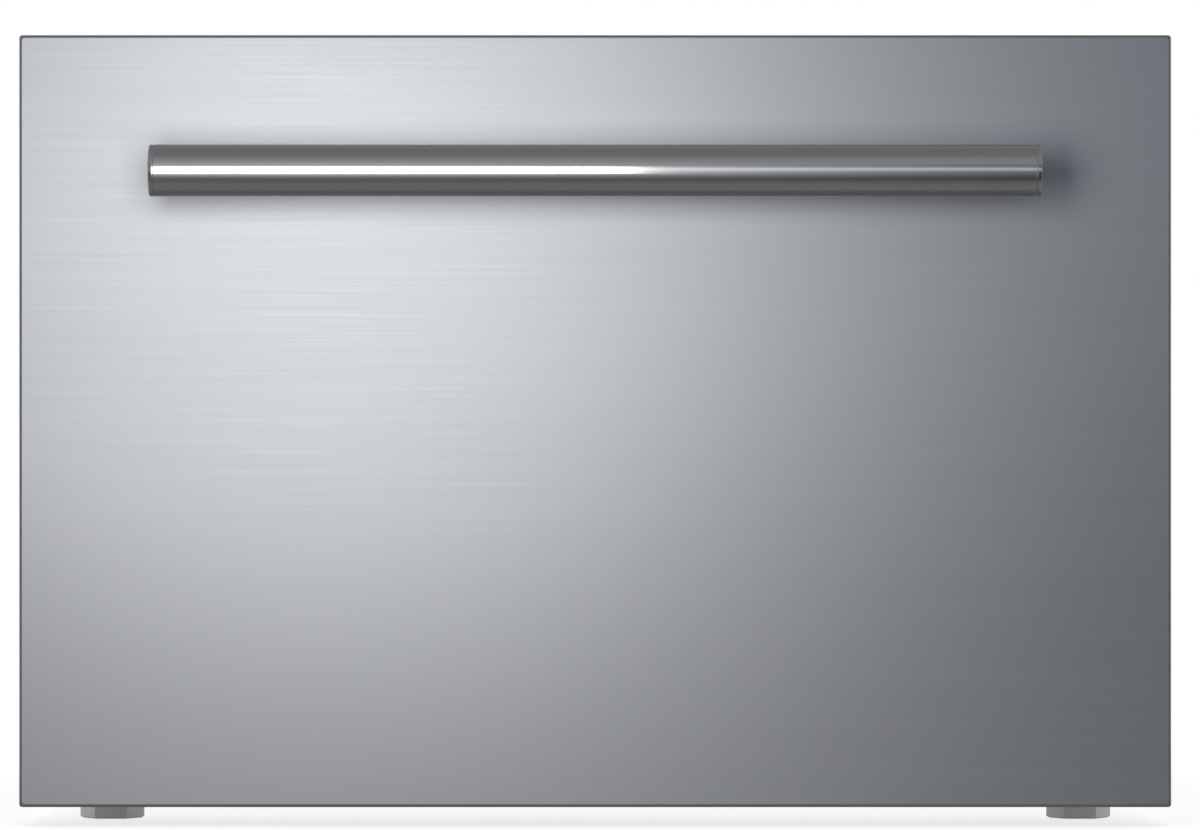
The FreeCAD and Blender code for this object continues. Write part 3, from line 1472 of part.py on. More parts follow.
def terminal_cover():
    """The plastic cover over the compressor's terminals and starting relay."""
    place = {"x": "compressor_place", "y": "case_front + compressor_depth"}
    cover = Piece("terminal_cover", **place)
    box = cover.sketch("XY", "terminal_low")
    reach = "compressor_size / 2 + terminal_reach"
    box_outline(box, "0", "-terminal_wide / 2", reach, "terminal_wide / 2", "terminal_corner")
    cover.pad(box, "terminal_high")
    bore = cover.sketch("XY", "terminal_low")
    large_round(bore, "0", "0", "compressor_size + 2 * seam_reach")
    cover.pocket(bore, "terminal_high")


def condenser():
    """The condenser: four runs of tube through a stack of fins, turned at the ends."""
    coil = Piece("condenser", x="condenser_place", y="case_front + fan_depth")
    half = "condenser_wide / 2"
    low = "pan_top + condenser_rise"
    fin = coil.sketch("XZ", "-condenser_deep / 2")
    box_outline(fin, f"-{half}", low, half, f"{low} + condenser_high")
    fin = coil.pad(fin, "fin_sheet")
    coil.row([fin], "Y", "(condenser_deep - fin_sheet) / (fin_count - 1)", "fin_count")
    tubes = coil.sketch("XZ")
    levels = [f"{low} + condenser_high * {run} / 5" for run in (1, 2, 3, 4)]
    for level in levels:
        small_round(tubes, "0", level, "tube_size")
    coil.pad(tubes, "condenser_deep + 2 * tube_size", both=True)
    for level, end in zip(levels, ("1", "-1", "1")):
        turn = coil.sketch("XY", level)
        middle = f"{end} * (condenser_deep / 2 + tube_size / 2)"
        half = "tube_size / 2"
        box_outline(turn, f"-{half}", f"{middle} - {half}", half, f"{middle} + {half}")
        coil.pad(turn, "condenser_high / 5")


def fan_shroud():
    """The square plate that carries the condenser fan, with its round opening."""
    shroud = Piece("fan_shroud", x="shroud_place", y="case_front + fan_depth", z="fan_level")
    plate = shroud.sketch("YZ")
    half = "shroud_size / 2"
    box_outline(plate, f"-{half}", f"-{half}", half, half, "shroud_corner")
    large_round(plate, "0", "0", "fan_size + 2 * fan_play + shroud_sheet")
    shroud.pad(plate, "shroud_sheet")
    tunnel = shroud.sketch("YZ", "-fan_tunnel")
    large_round(tunnel, "0", "0", "fan_size + 2 * fan_play + 3 * shroud_sheet")
    large_round(tunnel, "0", "0", "fan_size + 2 * fan_play + shroud_sheet")
    shroud.pad(tunnel, "fan_tunnel")
    foot = shroud.sketch("YZ")
    box_outline(foot, f"-{half}", "pan_top - fan_level", half, f"-{half} + shroud_corner")
    shroud.pad(foot, "shroud_sheet")


def fan_motor(name, x, y, level, size, long, arm, arm_reach, axis):
    """A small fan motor on three arms."""
    motor = Piece(name, x=x, y=y, z=level)
    plane = "YZ" if axis == "X" else "XZ"
    can = motor.sketch(plane)
    small_round(can, "0", "0", size)
    motor.pad(can, long)
    bar = motor.sketch(plane, f"{long} - {arm}")
    for turn in (90, 210, 330):
        outline(bar, spoke(turn, f"{size} * 0.4", arm_reach, arm))
    motor.pad(bar, arm)
    return motor


def spoke(turn, start, end, width):
    """Corners of a bar that runs outward at an angle."""
    half = f"{width} / 2"
    spots = [(start, f"-{half}"), (end, f"-{half}"), (end, half), (start, half)]
    c, s = f"cos({turn})", f"sin({turn})"
    return [(f"({u}) * {c} - ({v}) * {s}", f"({u}) * {s} + ({v}) * {c}") for u, v in spots]


def fan_blades(name, x, y, level, size, hub, axis, deep, count):
    """A fan: a hub and pitched blades, turning on the motor's axis."""
    fan = Piece(name, x=x, y=y, z=level)
    plane = "YZ" if axis == "X" else "XZ"
    disc = fan.sketch(plane)
    large_round(disc, "0", "0", hub)
    fan.pad(disc, deep)
    root = fan.sketch("XY")
    outline(root, blade_section(axis, f"{size} * 0.15", deep))
    blade = fan.pad(root, f"sqrt(({size} / 2) ^ 2 - ({size} * 0.15) ^ 2)")
    fan.ring([blade], axis, count)
    return fan


def blade_section(axis, half, deep):
    """A slanted strip, half as wide as half says, that climbs along the axis."""
    low, high = f"{deep} * 0.1", f"{deep} * 0.9 - blade_sheet"
    spots = [
        (f"-({half})", low),
        (half, high),
        (half, f"{high} + blade_sheet"),
        (f"-({half})", f"{low} + blade_sheet"),
    ]
    if axis == "X":
        return [(v, u) for u, v in spots]
    return spots


def condenser_fan():
    """The condenser fan's motor, on arms that reach the shroud."""
    fan_motor(
        "condenser_fan_motor",
        "shroud_place - fan_tunnel - motor_long",
        "case_front + fan_depth",
        "fan_level",
        "motor_size",
        "motor_long",
        "motor_arm",
        "fan_size / 2 + fan_play + shroud_sheet",
        "X",
    )
    fan_blades(
        "condenser_fan",
        "shroud_place - fan_tunnel + fan_play",
        "case_front + fan_depth",
        "fan_level",
        "fan_size",
        "fan_hub",
        "X",
        "fan_deep",
        "fan_blade_count",
    )


def drip_tray():
    """The open tray that catches melt water over the warm base."""
    tray = Piece("drip_tray")
    block = tray.sketch("XY", "pan_top")
    box_outline(block, "tray_left", "tray_front", "tray_right", "tray_back", "tray_corner")
    tray.pad(block, "tray_high")
    hollow = tray.sketch("XY", "pan_top + tray_wall")
    box_outline(
        hollow,
        "tray_left + tray_wall",
        "tray_front + tray_wall",
        "tray_right - tray_wall",
        "tray_back - tray_wall",
        "tray_corner - tray_wall",
    )
    tray.pocket(hollow, "tray_high")


def drain_tube():
    """The drain from the liner's step to the tray, with a collar at its mouth."""
    tube = Piece("drain_tube", x="drain_place", y="case_front + drain_depth")
    wall = tube.sketch("XY", "drain_end")
    small_round(wall, "0", "0", "drain_size")
    small_round(wall, "0", "0", "drain_size - 2 * drain_wall")
    tube.pad(wall, "hump_top - drain_end")
    collar = tube.sketch("XY", "hump_top")
    small_round(collar, "0", "0", "drain_size + 2 * drain_wall")
    small_round(collar, "0", "0", "drain_size - 2 * drain_wall")
    tube.pad(collar, "drain_wall")


def bent_tube(tube, plane, at_depth, spots, end_plane, end_at, end_spot):
    """A tube along straight runs with mitred corners, from its first end."""
    path = tube.sketch(plane, at_depth)
    points = [Vector(value(u), value(v), 0) for u, v in spots]
    runs = [Part.LineSegment(*ends) for ends in zip(points, points[1:])]
    path.addGeometry(runs, False)
    rules = [Sketcher.Constraint("Coincident", i, 2, i + 1, 1) for i in range(len(runs) - 1)]
    ties = []
    for i, (point, formulas) in enumerate(zip(points, spots)):
        held = (i, 1) if i < len(runs) else (i - 1, 2)
        for kind, size, formula in zip(("DistanceX", "DistanceY"), point, formulas):
            ties.append((Sketcher.Constraint(kind, -1, 1, *held, size), formula))
    settle(path, rules, ties)
    ring = tube.sketch(end_plane, end_at)
    small_round(ring, *end_spot, "tube_size")
    tube.sweep(path, ring)


def refrigerant_tubes():
    """Suction, capillary, liquid and discharge tubes of the sealed circuit."""
    tubes = Piece("refrigerant_tubes", loose=True)
    shell = "compressor_place + compressor_size / 2"
    spots = [
        ("suction_place", "hump_top + tube_rise"),
        ("suction_place", "suction_level"),
        (shell, "suction_level"),
    ]
    start = ("suction_place", "tube_entry")
    bent_tube(tubes, "XZ", "tube_entry", spots, "XY", "hump_top + tube_rise", start)
    spots = [
        ("suction_place + tube_gap", "hump_top + tube_rise"),
        ("suction_place + tube_gap", "drier_level"),
        ("drier_place - drier_long / 2", "drier_level"),
    ]
    start = ("suction_place + tube_gap", "tube_entry")
    bent_tube(tubes, "XZ", "tube_entry", spots, "XY", "hump_top + tube_rise", start)
    top = "pan_top + condenser_rise + condenser_high"
    spots = [
        ("drier_place + drier_long / 2", "drier_level"),
        ("condenser_place", "drier_level"),
        ("condenser_place", top),
    ]
    start = ("tube_entry", "drier_level")
    bent_tube(tubes, "XZ", "tube_entry", spots, "YZ", "drier_place + drier_long / 2", start)
    spots = [
        ("compressor_place", "compressor_depth - compressor_size / 2"),
        ("compressor_place", "discharge_depth"),
        ("condenser_place", "discharge_depth"),
        ("condenser_place", "fan_depth - condenser_deep / 2"),
    ]
    start = ("compressor_place", "discharge_level")
    plane_at = "compressor_depth - compressor_size / 2"
    bent_tube(tubes, "XY", "discharge_level", spots, "XZ", plane_at, start)


def filter_drier():
    """The copper filter drier between the condenser and the capillary tube."""
    drier = Piece("filter_drier", y="case_front + tube_entry", z="drier_level")
    can = drier.sketch("YZ", "drier_place - drier_long / 2")
    small_round(can, "0", "0", "drier_size")
    drier.pad(can, "drier_long")
    drier.chamfer("drier_taper", lambda edge: not along(edge, "x"))


def power_inlet():
    """The three-pin appliance inlet in the rear panel."""
    inlet = Piece("power_inlet")
    body = inlet.sketch("XZ", "case_depth - inlet_deep")
    box_outline(body, *inlet_edges())
    inlet.pad(body, "inlet_deep")
    flange = inlet.sketch("XZ", "back_inside - inlet_wall")
    box_outline(flange, *inlet_edges("inlet_wall"))
    inlet.pad(flange, "inlet_wall")
    mouth = inlet.sketch("XZ", "case_depth - inlet_deep + inlet_wall")
    box_outline(mouth, *inlet_edges("0 - inlet_wall"))
    inlet.pocket(mouth, "inlet_deep")
    pins = inlet.sketch("XZ", "case_depth - inlet_deep + inlet_wall")
    for across, rise in (("-1", "0"), ("0", "1"), ("1", "0")):
        left = f"inlet_place + {across} * pin_pitch - pin_thick / 2"
        low = f"inlet_level + {rise} * pin_rise - pin_tall / 2"
        box_outline(pins, left, low, f"{left} + pin_thick", f"{low} + pin_tall")
    inlet.pad(pins, "inlet_deep - 2 * inlet_wall")


def evaporator_cover():
    """The panel in front of the evaporator, with air slots and folded edges."""
    cover = Piece("evaporator_cover")
    panel = cover.sketch("XZ", "cover_depth")
    frame_outline(panel, "opening_half", "hump_top", "opening_top")
    cover.pad(panel, "cover_wall")
    shelf = cover.sketch("XZ", "cover_depth + cover_wall")
    frame_outline(shelf, "opening_half", "hump_top", "opening_top")
    inner = ("opening_half - cover_wall", "hump_top + cover_wall", "opening_top - cover_wall")
    frame_outline(shelf, *inner)
    cover.pad(shelf, "cover_return")
    places = (
        ("cool_fan_place - cool_slot_wide / 2", "cool_slot_wide", "cool_slot_low", "cool_slot_count"),
        ("coil_left", "coil_right - coil_left", "return_slot_low", "return_slot_count"),
    )
    for left, wide, low, count in places:
        slot = cover.sketch("XZ", "cover_depth")
        box_outline(slot, left, low, f"{left} + {wide}", f"{low} + cool_slot_high")
        slot = cover.pocket(slot, "cover_wall")
        cover.row([slot], "Z", "cool_slot_pitch", count)


def evaporator():
    """The evaporator: fins across three straight tubes with end turns."""
    coil = Piece("evaporator", y="case_front + coil_depth")
    fin = coil.sketch("YZ", "coil_left")
    half = "coil_deep / 2"
    box_outline(fin, f"-{half}", "coil_low", half, "coil_low + coil_high")
    fin = coil.pad(fin, "fin_sheet")
    pitch = "(coil_right - coil_left - fin_sheet) / (coil_fin_count - 1)"
    coil.row([fin], "X", pitch, "coil_fin_count")
    tubes = coil.sketch("YZ", "coil_left - tube_size")
    for number in range(3):
        level = f"coil_low + coil_high * {number + 1} / 4"
        small_round(tubes, "0", level, "tube_size")
    coil.pad(tubes, "coil_right - coil_left + 2 * tube_size")
    for end, low in (("coil_right", "1"), ("coil_left - tube_size * 2", "2")):
        turn = coil.sketch("XY", f"coil_low + coil_high * {low} / 4")
        box_outline(turn, end, "-tube_size / 2", f"{end} + 2 * tube_size", "tube_size / 2")
        coil.pad(turn, "coil_high / 4")


def cool_fan():
    """The fan that blows cold air through the cover, and its motor."""
    fan_motor(
        "evaporator_fan_motor",
        "cool_fan_place",
        "case_front + cover_depth + cover_wall + cool_fan_gap + cool_fan_deep + 2 * fan_play",
        "cool_fan_level",
        "cool_motor_size",
        "cool_motor_long",
        "motor_arm",
        "cool_fan_size / 2 + fan_play",
        "Y",
    )
    fan_blades(
        "evaporator_fan",
        "cool_fan_place",
        "case_front + cover_depth + cover_wall + cool_fan_gap",
        "cool_fan_level",
        "cool_fan_size",
        "cool_fan_hub",
        "Y",
        "cool_fan_deep",
        "cool_blade_count",
    )


def control_housing():
    """The control housing under the liner's ceiling, open above, with its front holes."""
    housing = Piece("control_housing")
    block = housing.sketch("XZ", "control_front")
    low = "opening_top - control_high"
    box_outline(block, "-control_half", low, "control_half", "opening_top")
    housing.pad(block, "control_deep")
    hollow = housing.sketch("XZ", "control_front + control_wall")
    wall = "control_wall"
    box_outline(hollow, f"{wall} - control_half", f"{low} + {wall}", f"control_half - {wall}", "opening_top")
    housing.pocket(hollow, "control_deep - 2 * control_wall")
    holes = housing.sketch("XZ", "control_front")
    for name, place in button_places():
        large_round(holes, place, "button_level", "button_size + 2 * button_play")
    box_outline(holes, *window_edges())
    housing.pocket(holes, "control_wall")


def button_places():
    """Name and place of each push-button of the control housing."""
    names = ("colder", "warmer", "light")
    return [(name, f"button_first + {i} * button_pitch") for i, name in enumerate(names)]


def window_edges(play="0"):
    return (
        f"-window_half + window_shift - {play}",
        f"button_level - window_high / 2 - {play}",
        f"window_half + window_shift + {play}",
        f"button_level + window_high / 2 + {play}",
    )


def control_window():
    """The clear window over the temperature numbers, with a rim behind the wall."""
    window = Piece("control_window")
    pane = window.sketch("XZ", "control_front")
    box_outline(pane, *window_edges())
    window.pad(pane, "control_wall")
    rim = window.sketch("XZ", "control_front + control_wall")
    box_outline(rim, *window_edges("window_rim"))
    window.pad(rim, "window_rim")


def control_board():
    """The circuit board with its sockets and the buttons' switches."""
    board = Piece("control_board")
    plate = board.sketch("XZ", "board_depth")
    low, high = "board_low", "opening_top - board_gap"
    box_outline(plate, "board_gap - control_half", low, "control_half - board_gap", high)
    board.pad(plate, "board_sheet")
    switches = board.sketch("XZ", "button_end + button_travel + button_spring")
    for name, place in button_places():
        small_round(switches, place, "button_level", "button_size / 2")
    board.pad(switches, "board_depth - button_end - button_travel - button_spring")


def button(name, place):
    """A push-button: a domed cap through the wall and a flange behind it."""
    cap = Piece(f"button_{name}", x=place, z="button_level")
    face = cap.sketch("XZ", "control_front - button_stand")
    large_round(face, "0", "0", "button_size")
    cap.pad(face, "button_stand + control_wall + button_flange_gap")
    flange = cap.sketch("XZ", "control_front + control_wall + button_flange_gap")
    small_round(flange, "0", "0", "button_size + 2 * button_flange")
    cap.pad(flange, "button_flange")
    cap.chamfer("button_round", lambda edge: at(edge, "y", "control_front - button_stand"))


def lamp():
    """The lens of the ceiling lamp."""
    lens = Piece("lamp_lens")
    pane = lens.sketch("XY", "opening_top - lamp_high")
    box_outline(pane, "-lamp_half", "lamp_depth", "lamp_half", "lamp_depth + lamp_deep")
    lens.pad(pane, "lamp_high")
    lens.chamfer("lamp_high / 2", lambda edge: at(edge, "z", "opening_top - lamp_high"))


def make_front():
    front_skin()
    front_panel()
    front_foam()
    front_plates()
    door_magnet()
    gasket()
    handle_bar()
    handle_caps()
    handle_posts()
    drawer_screws()


def make_drawer():
    for side in ("left", "right"):
        slide_outer(side)
        slide_middle(side)
        slide_inner(side)
        side_bracket(side)
        outer = ("outer_ball_across", "outer_ball_up")
        inner = ("inner_ball_across", "inner_ball_up")
        ball_cage("cage_outer", side, *outer, "rail_sheet + cage_play", "outer_cage_reach")
        ball_cage("cage_inner", side, *inner, "inner_cage_web", "inner_cage_reach")
    bin_tub()


def make_cabinet():
    front_frame()
    outer_wrapper()
    rear_panel()
    base_pan()
    for x, y, name in foot_spots():
        foot(x, y, name)
    engine_bulkhead()
    inner_liner()
    cabinet_foam()
    cabinet_sensor()
    mounting_brackets()
    slide_screws()


def make_cooling():
    compressor()
    compressor_grommets()
    terminal_cover()
    condenser()
    fan_shroud()
    condenser_fan()
    drip_tray()
    drain_tube()
    refrigerant_tubes()
    filter_drier()
    power_inlet()
    evaporator_cover()
    evaporator()
    cool_fan()


def make_controls():
    control_housing()
    control_window()
    control_board()
    for name, place in button_places():
        button(name, place)
    lamp()


def check_and_export():
    """Check every object and shape, then write each sub-part to its own file."""
    document.recompute()
    for item in document.Objects:
        if {"Invalid", "Error"} & set(item.State):
            owner = item.getParentGeoFeatureGroup()
            raise RuntimeError(f"{item.Name} of {owner and owner.Label} failed: {item.State}")
    os.makedirs("parts", exist_ok=True)
    for piece in Piece.every:
        body = piece.body
        shape = body.Shape
        if shape.isNull() or not shape.isValid():
            raise RuntimeError(f"{body.Label} has no valid shape")
    for piece in Piece.every:
        body = piece.body
        body.Shape.exportStep(os.path.join("parts", body.Label + ".step"))


make_cabinet()
make_cooling()
make_controls()
make_front()
make_drawer()
check_and_export()
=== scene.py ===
"""Looks of a built-in refrigerator drawer: its pieces, their finishes, the studio and the camera.

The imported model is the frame: X runs across, the drawer opens towards -Y and Z is up, in metres.
Each sub-assembly is a class. Its fields are its own sizes, and its methods build and dress its pieces.
"""

import logging
import math
from collections.abc import Iterable, Sequence
from dataclasses import dataclass, field
from enum import Enum
from functools import partial
from typing import NamedTuple, Protocol

import bmesh
import bpy
import numpy as np
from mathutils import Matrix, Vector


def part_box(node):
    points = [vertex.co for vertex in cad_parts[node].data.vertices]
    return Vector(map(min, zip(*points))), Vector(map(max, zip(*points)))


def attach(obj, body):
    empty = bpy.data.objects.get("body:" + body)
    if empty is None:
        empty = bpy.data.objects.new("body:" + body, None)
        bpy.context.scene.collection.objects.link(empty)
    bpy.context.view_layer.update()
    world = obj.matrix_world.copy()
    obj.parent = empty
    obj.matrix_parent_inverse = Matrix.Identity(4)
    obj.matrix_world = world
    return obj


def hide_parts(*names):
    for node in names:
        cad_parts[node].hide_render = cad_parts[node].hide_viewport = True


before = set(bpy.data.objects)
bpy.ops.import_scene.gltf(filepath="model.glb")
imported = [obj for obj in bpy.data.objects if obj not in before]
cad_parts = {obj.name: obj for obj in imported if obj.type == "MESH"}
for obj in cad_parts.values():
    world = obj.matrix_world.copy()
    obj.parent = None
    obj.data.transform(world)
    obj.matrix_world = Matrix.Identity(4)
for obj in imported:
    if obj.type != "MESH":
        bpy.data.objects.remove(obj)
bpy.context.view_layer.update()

log = logging.getLogger("refrigerator_drawer")

Array = np.ndarray
Point = tuple[float, float, float]
Colour = tuple[float, float, float]
Pair = tuple[float, float]
Profile = list[Pair]
Socket = bpy.types.NodeSocket

# Radius at which a turned profile ends, so that its last ring closes to a small face.
POLE = 0.0002


class Body(Enum):
    """The bodies that pieces ride on."""

    CABINET = "cabinet"
    DRAWER = "drawer"
    MIDDLE_LEFT = "middle_left"
    MIDDLE_RIGHT = "middle_right"
    OUTER_CAGE_LEFT = "cage_outer_left"
    OUTER_CAGE_RIGHT = "cage_outer_right"
    INNER_CAGE_LEFT = "cage_inner_left"
    INNER_CAGE_RIGHT = "cage_inner_right"
    COOLING_FAN = "evaporator_fan"
    CONDENSER_FAN = "condenser_fan"
    FOOT_FRONT_LEFT = "foot_front_left"
    FOOT_FRONT_RIGHT = "foot_front_right"
    FOOT_REAR_LEFT = "foot_rear_left"
    FOOT_REAR_RIGHT = "foot_rear_right"
    BUTTON_COLDER = "button_colder"
    BUTTON_WARMER = "button_warmer"
    BUTTON_LIGHT = "button_light"


class Along(Enum):
    """The axis that a section is carried along, and the two axes that it is drawn on."""

    X = (1, 2, 0)
    Y = (0, 2, 1)
    Z = (0, 1, 2)

    def place(self, first: Array, second: Array, third: Array) -> Array:
        """Put two drawn axes and the carried one in X, Y, Z order.

        Args:
            first: Values on the first drawn axis.
            second: Values on the second drawn axis.
            third: Values on the carried axis.

        Returns:
            Points, with X, Y and Z in the last dimension.
        """
        columns = np.broadcast_arrays(first, second, third)
        order = np.argsort(self.value)
        return np.stack([columns[i] for i in order], axis=-1)


@dataclass
class Box:
    """A box in the frame, from its lowest to its highest corner."""

    low: Array
    high: Array

    @classmethod
    def of(cls, *nodes: str) -> "Box":
        """The box round one or more CAD nodes."""
        corners = np.array([[tuple(corner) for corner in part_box(node)] for node in nodes])
        return cls(corners[:, 0].min(axis=0), corners[:, 1].max(axis=0))

    @property
    def centre(self) -> Array:
        """The middle of the box."""
        return (self.low + self.high) / 2

    @property
    def half(self) -> Array:
        """Half the size of the box on each axis."""
        return (self.high - self.low) / 2


def boxed(*nodes: str) -> Box:
    """A field that holds the box round one or more CAD nodes."""
    return field(default_factory=partial(Box.of, *nodes))


@dataclass(frozen=True)
class Ring:
    """One rounded rectangle of a carried section: how far in, where along, and its corner radius."""

    inset: float
    along: float
    corner: float


def rounded_loop(half_across: Array, half_up: Array, corner: Array, steps: int) -> tuple[Array, Array]:
    """Rounded rectangles about the origin, one for each row of sizes.

    The loop is four quarter turns. A point is the corner's centre, which lies at the half size
    less the radius, plus the radius times the cosine and sine of an angle from 0 to 360 degrees.

    Args:
        half_across: Half width of each rectangle.
        half_up: Half height of each rectangle.
        corner: Corner radius of each rectangle.
        steps: Points in one quarter turn.

    Returns:
        Values across and up, with one row per rectangle.
    """
    quarter = np.linspace(0.0, math.pi / 2, steps)
    turn = (quarter[None, :] + np.arange(4)[:, None] * math.pi / 2).ravel()
    side_across = np.repeat([1.0, -1.0, -1.0, 1.0], steps)
    side_up = np.repeat([1.0, 1.0, -1.0, -1.0], steps)
    corner = np.minimum(corner, np.minimum(half_across, half_up))[:, None]
    across = side_across * (half_across[:, None] - corner) + corner * np.cos(turn)
    up = side_up * (half_up[:, None] - corner) + corner * np.sin(turn)
    return across, up


def ring_grid(
    centre: Sequence[float], half: Sequence[float], rings: Sequence[Ring], axis: Along, steps: int = 6
) -> Array:
    """Rounded rectangles carried along an axis, each set in from the first.

    Args:
        centre: The middle of the rectangle on the two drawn axes.
        half: Its half sizes on those axes.
        rings: How far in, where along and how round each rectangle is.
        axis: The axis that the rings are carried along.
        steps: Points in each corner.

    Returns:
        A grid of points, one row per ring.
    """
    inset = np.array([ring.inset for ring in rings])
    along = np.array([ring.along for ring in rings])
    corner = np.array([ring.corner for ring in rings])
    across, up = rounded_loop(half[0] - inset, half[1] - inset, corner, steps)
    return axis.place(centre[0] + across, centre[1] + up, along[:, None])


def turned_grid(centre: Sequence[float], profile: Profile, axis: Along, steps: int = 48) -> Array:
    """A profile turned once round an axis through a point.

    A point is the profile's radius times the cosine and sine of an angle, and the profile's
    distance along the axis, both from the centre.

    Args:
        centre: A point on the axis.
        profile: Radius and distance along the axis of each point of the profile.
        axis: The axis of the turn.
        steps: Points round the turn.

    Returns:
        A grid of points, one row per profile point.
    """
    radius, along = np.array(profile, float).T
    turn = np.linspace(0.0, 2 * math.pi, steps, endpoint=False)
    first, second, third = axis.value
    return axis.place(
        centre[first] + radius[:, None] * np.cos(turn),
        centre[second] + radius[:, None] * np.sin(turn),
        centre[third] + along[:, None],
    )


def arc(radius: float, start: float, end: float, steps: int, centre: Pair = (0.0, 0.0)) -> Profile:
    """Points on an arc, from the start to the end angle in degrees."""
    turn = np.radians(np.linspace(start, end, steps))
    return [(centre[0] + radius * c, centre[1] + radius * s) for c, s in zip(np.cos(turn), np.sin(turn))]


def rounded_path(corners: Sequence[Point], bend: float, steps: int = 8) -> Array:
    """A path of straight runs with a smooth turn at each inner corner.

    Each turn is a quadratic curve from a point one bend before the corner to one after it:
    the corner weighs 2t(1-t), the ends weigh (1-t) squared and t squared.

    Args:
        corners: The path's corners, end to end.
        bend: How far from a corner its turn starts.
        steps: Points in each turn.

    Returns:
        The path's points, one row each.
    """
    spots = np.array(corners, float)
    runs = np.diff(spots, axis=0)
    ways = runs / np.linalg.norm(runs, axis=1)[:, None]
    before = spots[1:-1] - bend * ways[:-1]
    after = spots[1:-1] + bend * ways[1:]
    t = np.linspace(0.0, 1.0, steps)[None, :, None]
    turns = (1 - t) ** 2 * before[:, None] + 2 * t * (1 - t) * spots[1:-1, None] + t**2 * after[:, None]
    return np.concatenate([spots[:1], turns.reshape(-1, 3), spots[-1:]])


def tube_grid(path: Array, radius: float, steps: int = 14) -> Array:
    """A round tube along a path that turns in one plane at a time.

    Each ring lies across the path's direction. Its first axis is the direction crossed with a
    reference, its second the direction crossed with the first.

    Args:
        path: The path's points, one row each.
        radius: The tube's radius.
        steps: Points round the tube.

    Returns:
        A grid of points, one row per path point.
    """
    ahead = np.gradient(path, axis=0)
    ahead /= np.linalg.norm(ahead, axis=1)[:, None]
    reference = np.array([0.31, 0.53, 0.79])
    first = np.cross(ahead, reference)
    first /= np.linalg.norm(first, axis=1)[:, None]
    second = np.cross(ahead, first)
    turn = np.linspace(0.0, 2 * math.pi, steps, endpoint=False)
    ring = first[:, None] * np.cos(turn)[None, :, None] + second[:, None] * np.sin(turn)[None, :, None]
    return path[:, None] + radius * ring


class Shell:
    """A mesh that is put together from grids of points."""

    def __init__(self) -> None:
        """Start with no points and no faces."""
        self.points: list[Array] = []
        self.quads: list[Array] = []
        self.caps: list[list[int]] = []
        self.count = 0

    def add(self, grid: Array, around: bool = True, closed: bool = False) -> None:
        """Add a grid of points as a skin of quads, with a face over each open end.

        Args:
            grid: Points in rows, each row one ring or strip.
            around: Each row joins its own end.
            closed: The last row joins the first.
        """
        rows, columns = grid.shape[:2]
        index = self.count + np.arange(rows * columns).reshape(rows, columns)
        if around:
            index = np.concatenate([index, index[:, :1]], axis=1)
        if closed:
            index = np.concatenate([index, index[:1]], axis=0)
        quads = np.stack([index[:-1, :-1], index[:-1, 1:], index[1:, 1:], index[1:, :-1]], axis=-1)
        self.quads.append(quads.reshape(-1, 4))
        self.points.append(grid.reshape(-1, 3))
        if around and not closed:
            self.caps += [index[0, :-1].tolist(), index[-1, :-1].tolist()]
        self.count += rows * columns

    def repeat(self, offsets: Iterable[Sequence[float]]) -> None:
        """Copy all that the shell holds to each offset, in place of the first."""
        points = np.concatenate(self.points)
        quads = np.concatenate(self.quads)
        caps = self.caps
        size = len(points)
        moves = [np.asarray(offset, float) for offset in offsets]
        self.points = [points + move for move in moves]
        self.quads = [quads + i * size for i in range(len(moves))]
        self.caps = [[v + i * size for v in cap] for i in range(len(moves)) for cap in caps]
        self.count = size * len(moves)

    def mesh(self, name: str, smooth: float) -> bpy.types.Mesh:
        """Make the mesh, merge doubles, turn its faces outwards and mark its sharp edges.

        Args:
            name: The mesh's name.
            smooth: Edges flatter than this many degrees are shaded smooth.

        Returns:
            The mesh.
        """
        mesh = bpy.data.meshes.new(name)
        faces = [face for block in self.quads for face in block.tolist()] + self.caps
        mesh.from_pydata(np.concatenate(self.points), [], faces)
        work = bmesh.new()
        work.from_mesh(mesh)
        bmesh.ops.remove_doubles(work, verts=work.verts, dist=1e-6)
        bmesh.ops.dissolve_degenerate(work, edges=work.edges, dist=1e-7)
        bmesh.ops.recalc_face_normals(work, faces=work.faces)
        work.to_mesh(mesh)
        work.free()
        mesh.shade_smooth()
        mesh.set_sharp_from_angle(angle=math.radians(smooth))
        self.crease_caps(mesh)
        return mesh

    @staticmethod
    def crease_caps(mesh: bpy.types.Mesh) -> None:
        """Mark the edges of faces with more than four corners as sharp."""
        corners = np.empty(len(mesh.polygons), np.int32)
        edges = np.empty(len(mesh.loops), np.int32)
        sharp = np.empty(len(mesh.edges), bool)
        mesh.polygons.foreach_get("loop_total", corners)
        mesh.loops.foreach_get("edge_index", edges)
        mesh.edges.foreach_get("use_edge_sharp", sharp)
        sharp[edges[np.repeat(corners > 4, corners)]] = True
        mesh.edges.foreach_set("use_edge_sharp", sharp)


def piece(
    name: str,
    shell: Shell,
    finish: "Finish",
    body: str,
    stands_for: Sequence[str] = (),
    bevel: float = 0.0,
    smooth: float = 32.0,
) -> bpy.types.Object:
    """Make one piece of the object from a shell, dress it and let it ride.

    Args:
        name: The piece's name.
        shell: Its points and faces.
        finish: Its finish.
        body: The body that it moves with.
        stands_for: CAD nodes that it takes the place of.
        bevel: Width of the bevel on its sharp edges, or none.
        smooth: Edges flatter than this many degrees are shaded smooth.

    Returns:
        The piece.
    """
    made = bpy.data.objects.new(name, shell.mesh(name, smooth))
    bpy.context.scene.collection.objects.link(made)
    if bevel:
        rounding = made.modifiers.new("edge rounding", "BEVEL")
        rounding.width = bevel
        rounding.segments = 2
        rounding.limit_method = "ANGLE"
        rounding.angle_limit = math.radians(40)
    made.data.materials.append(finish.material())
    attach(made, body)
    if stands_for:
        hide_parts(*stands_for)
    log.info("%s: %d faces, on %s", name, len(made.data.polygons), body)
    return made


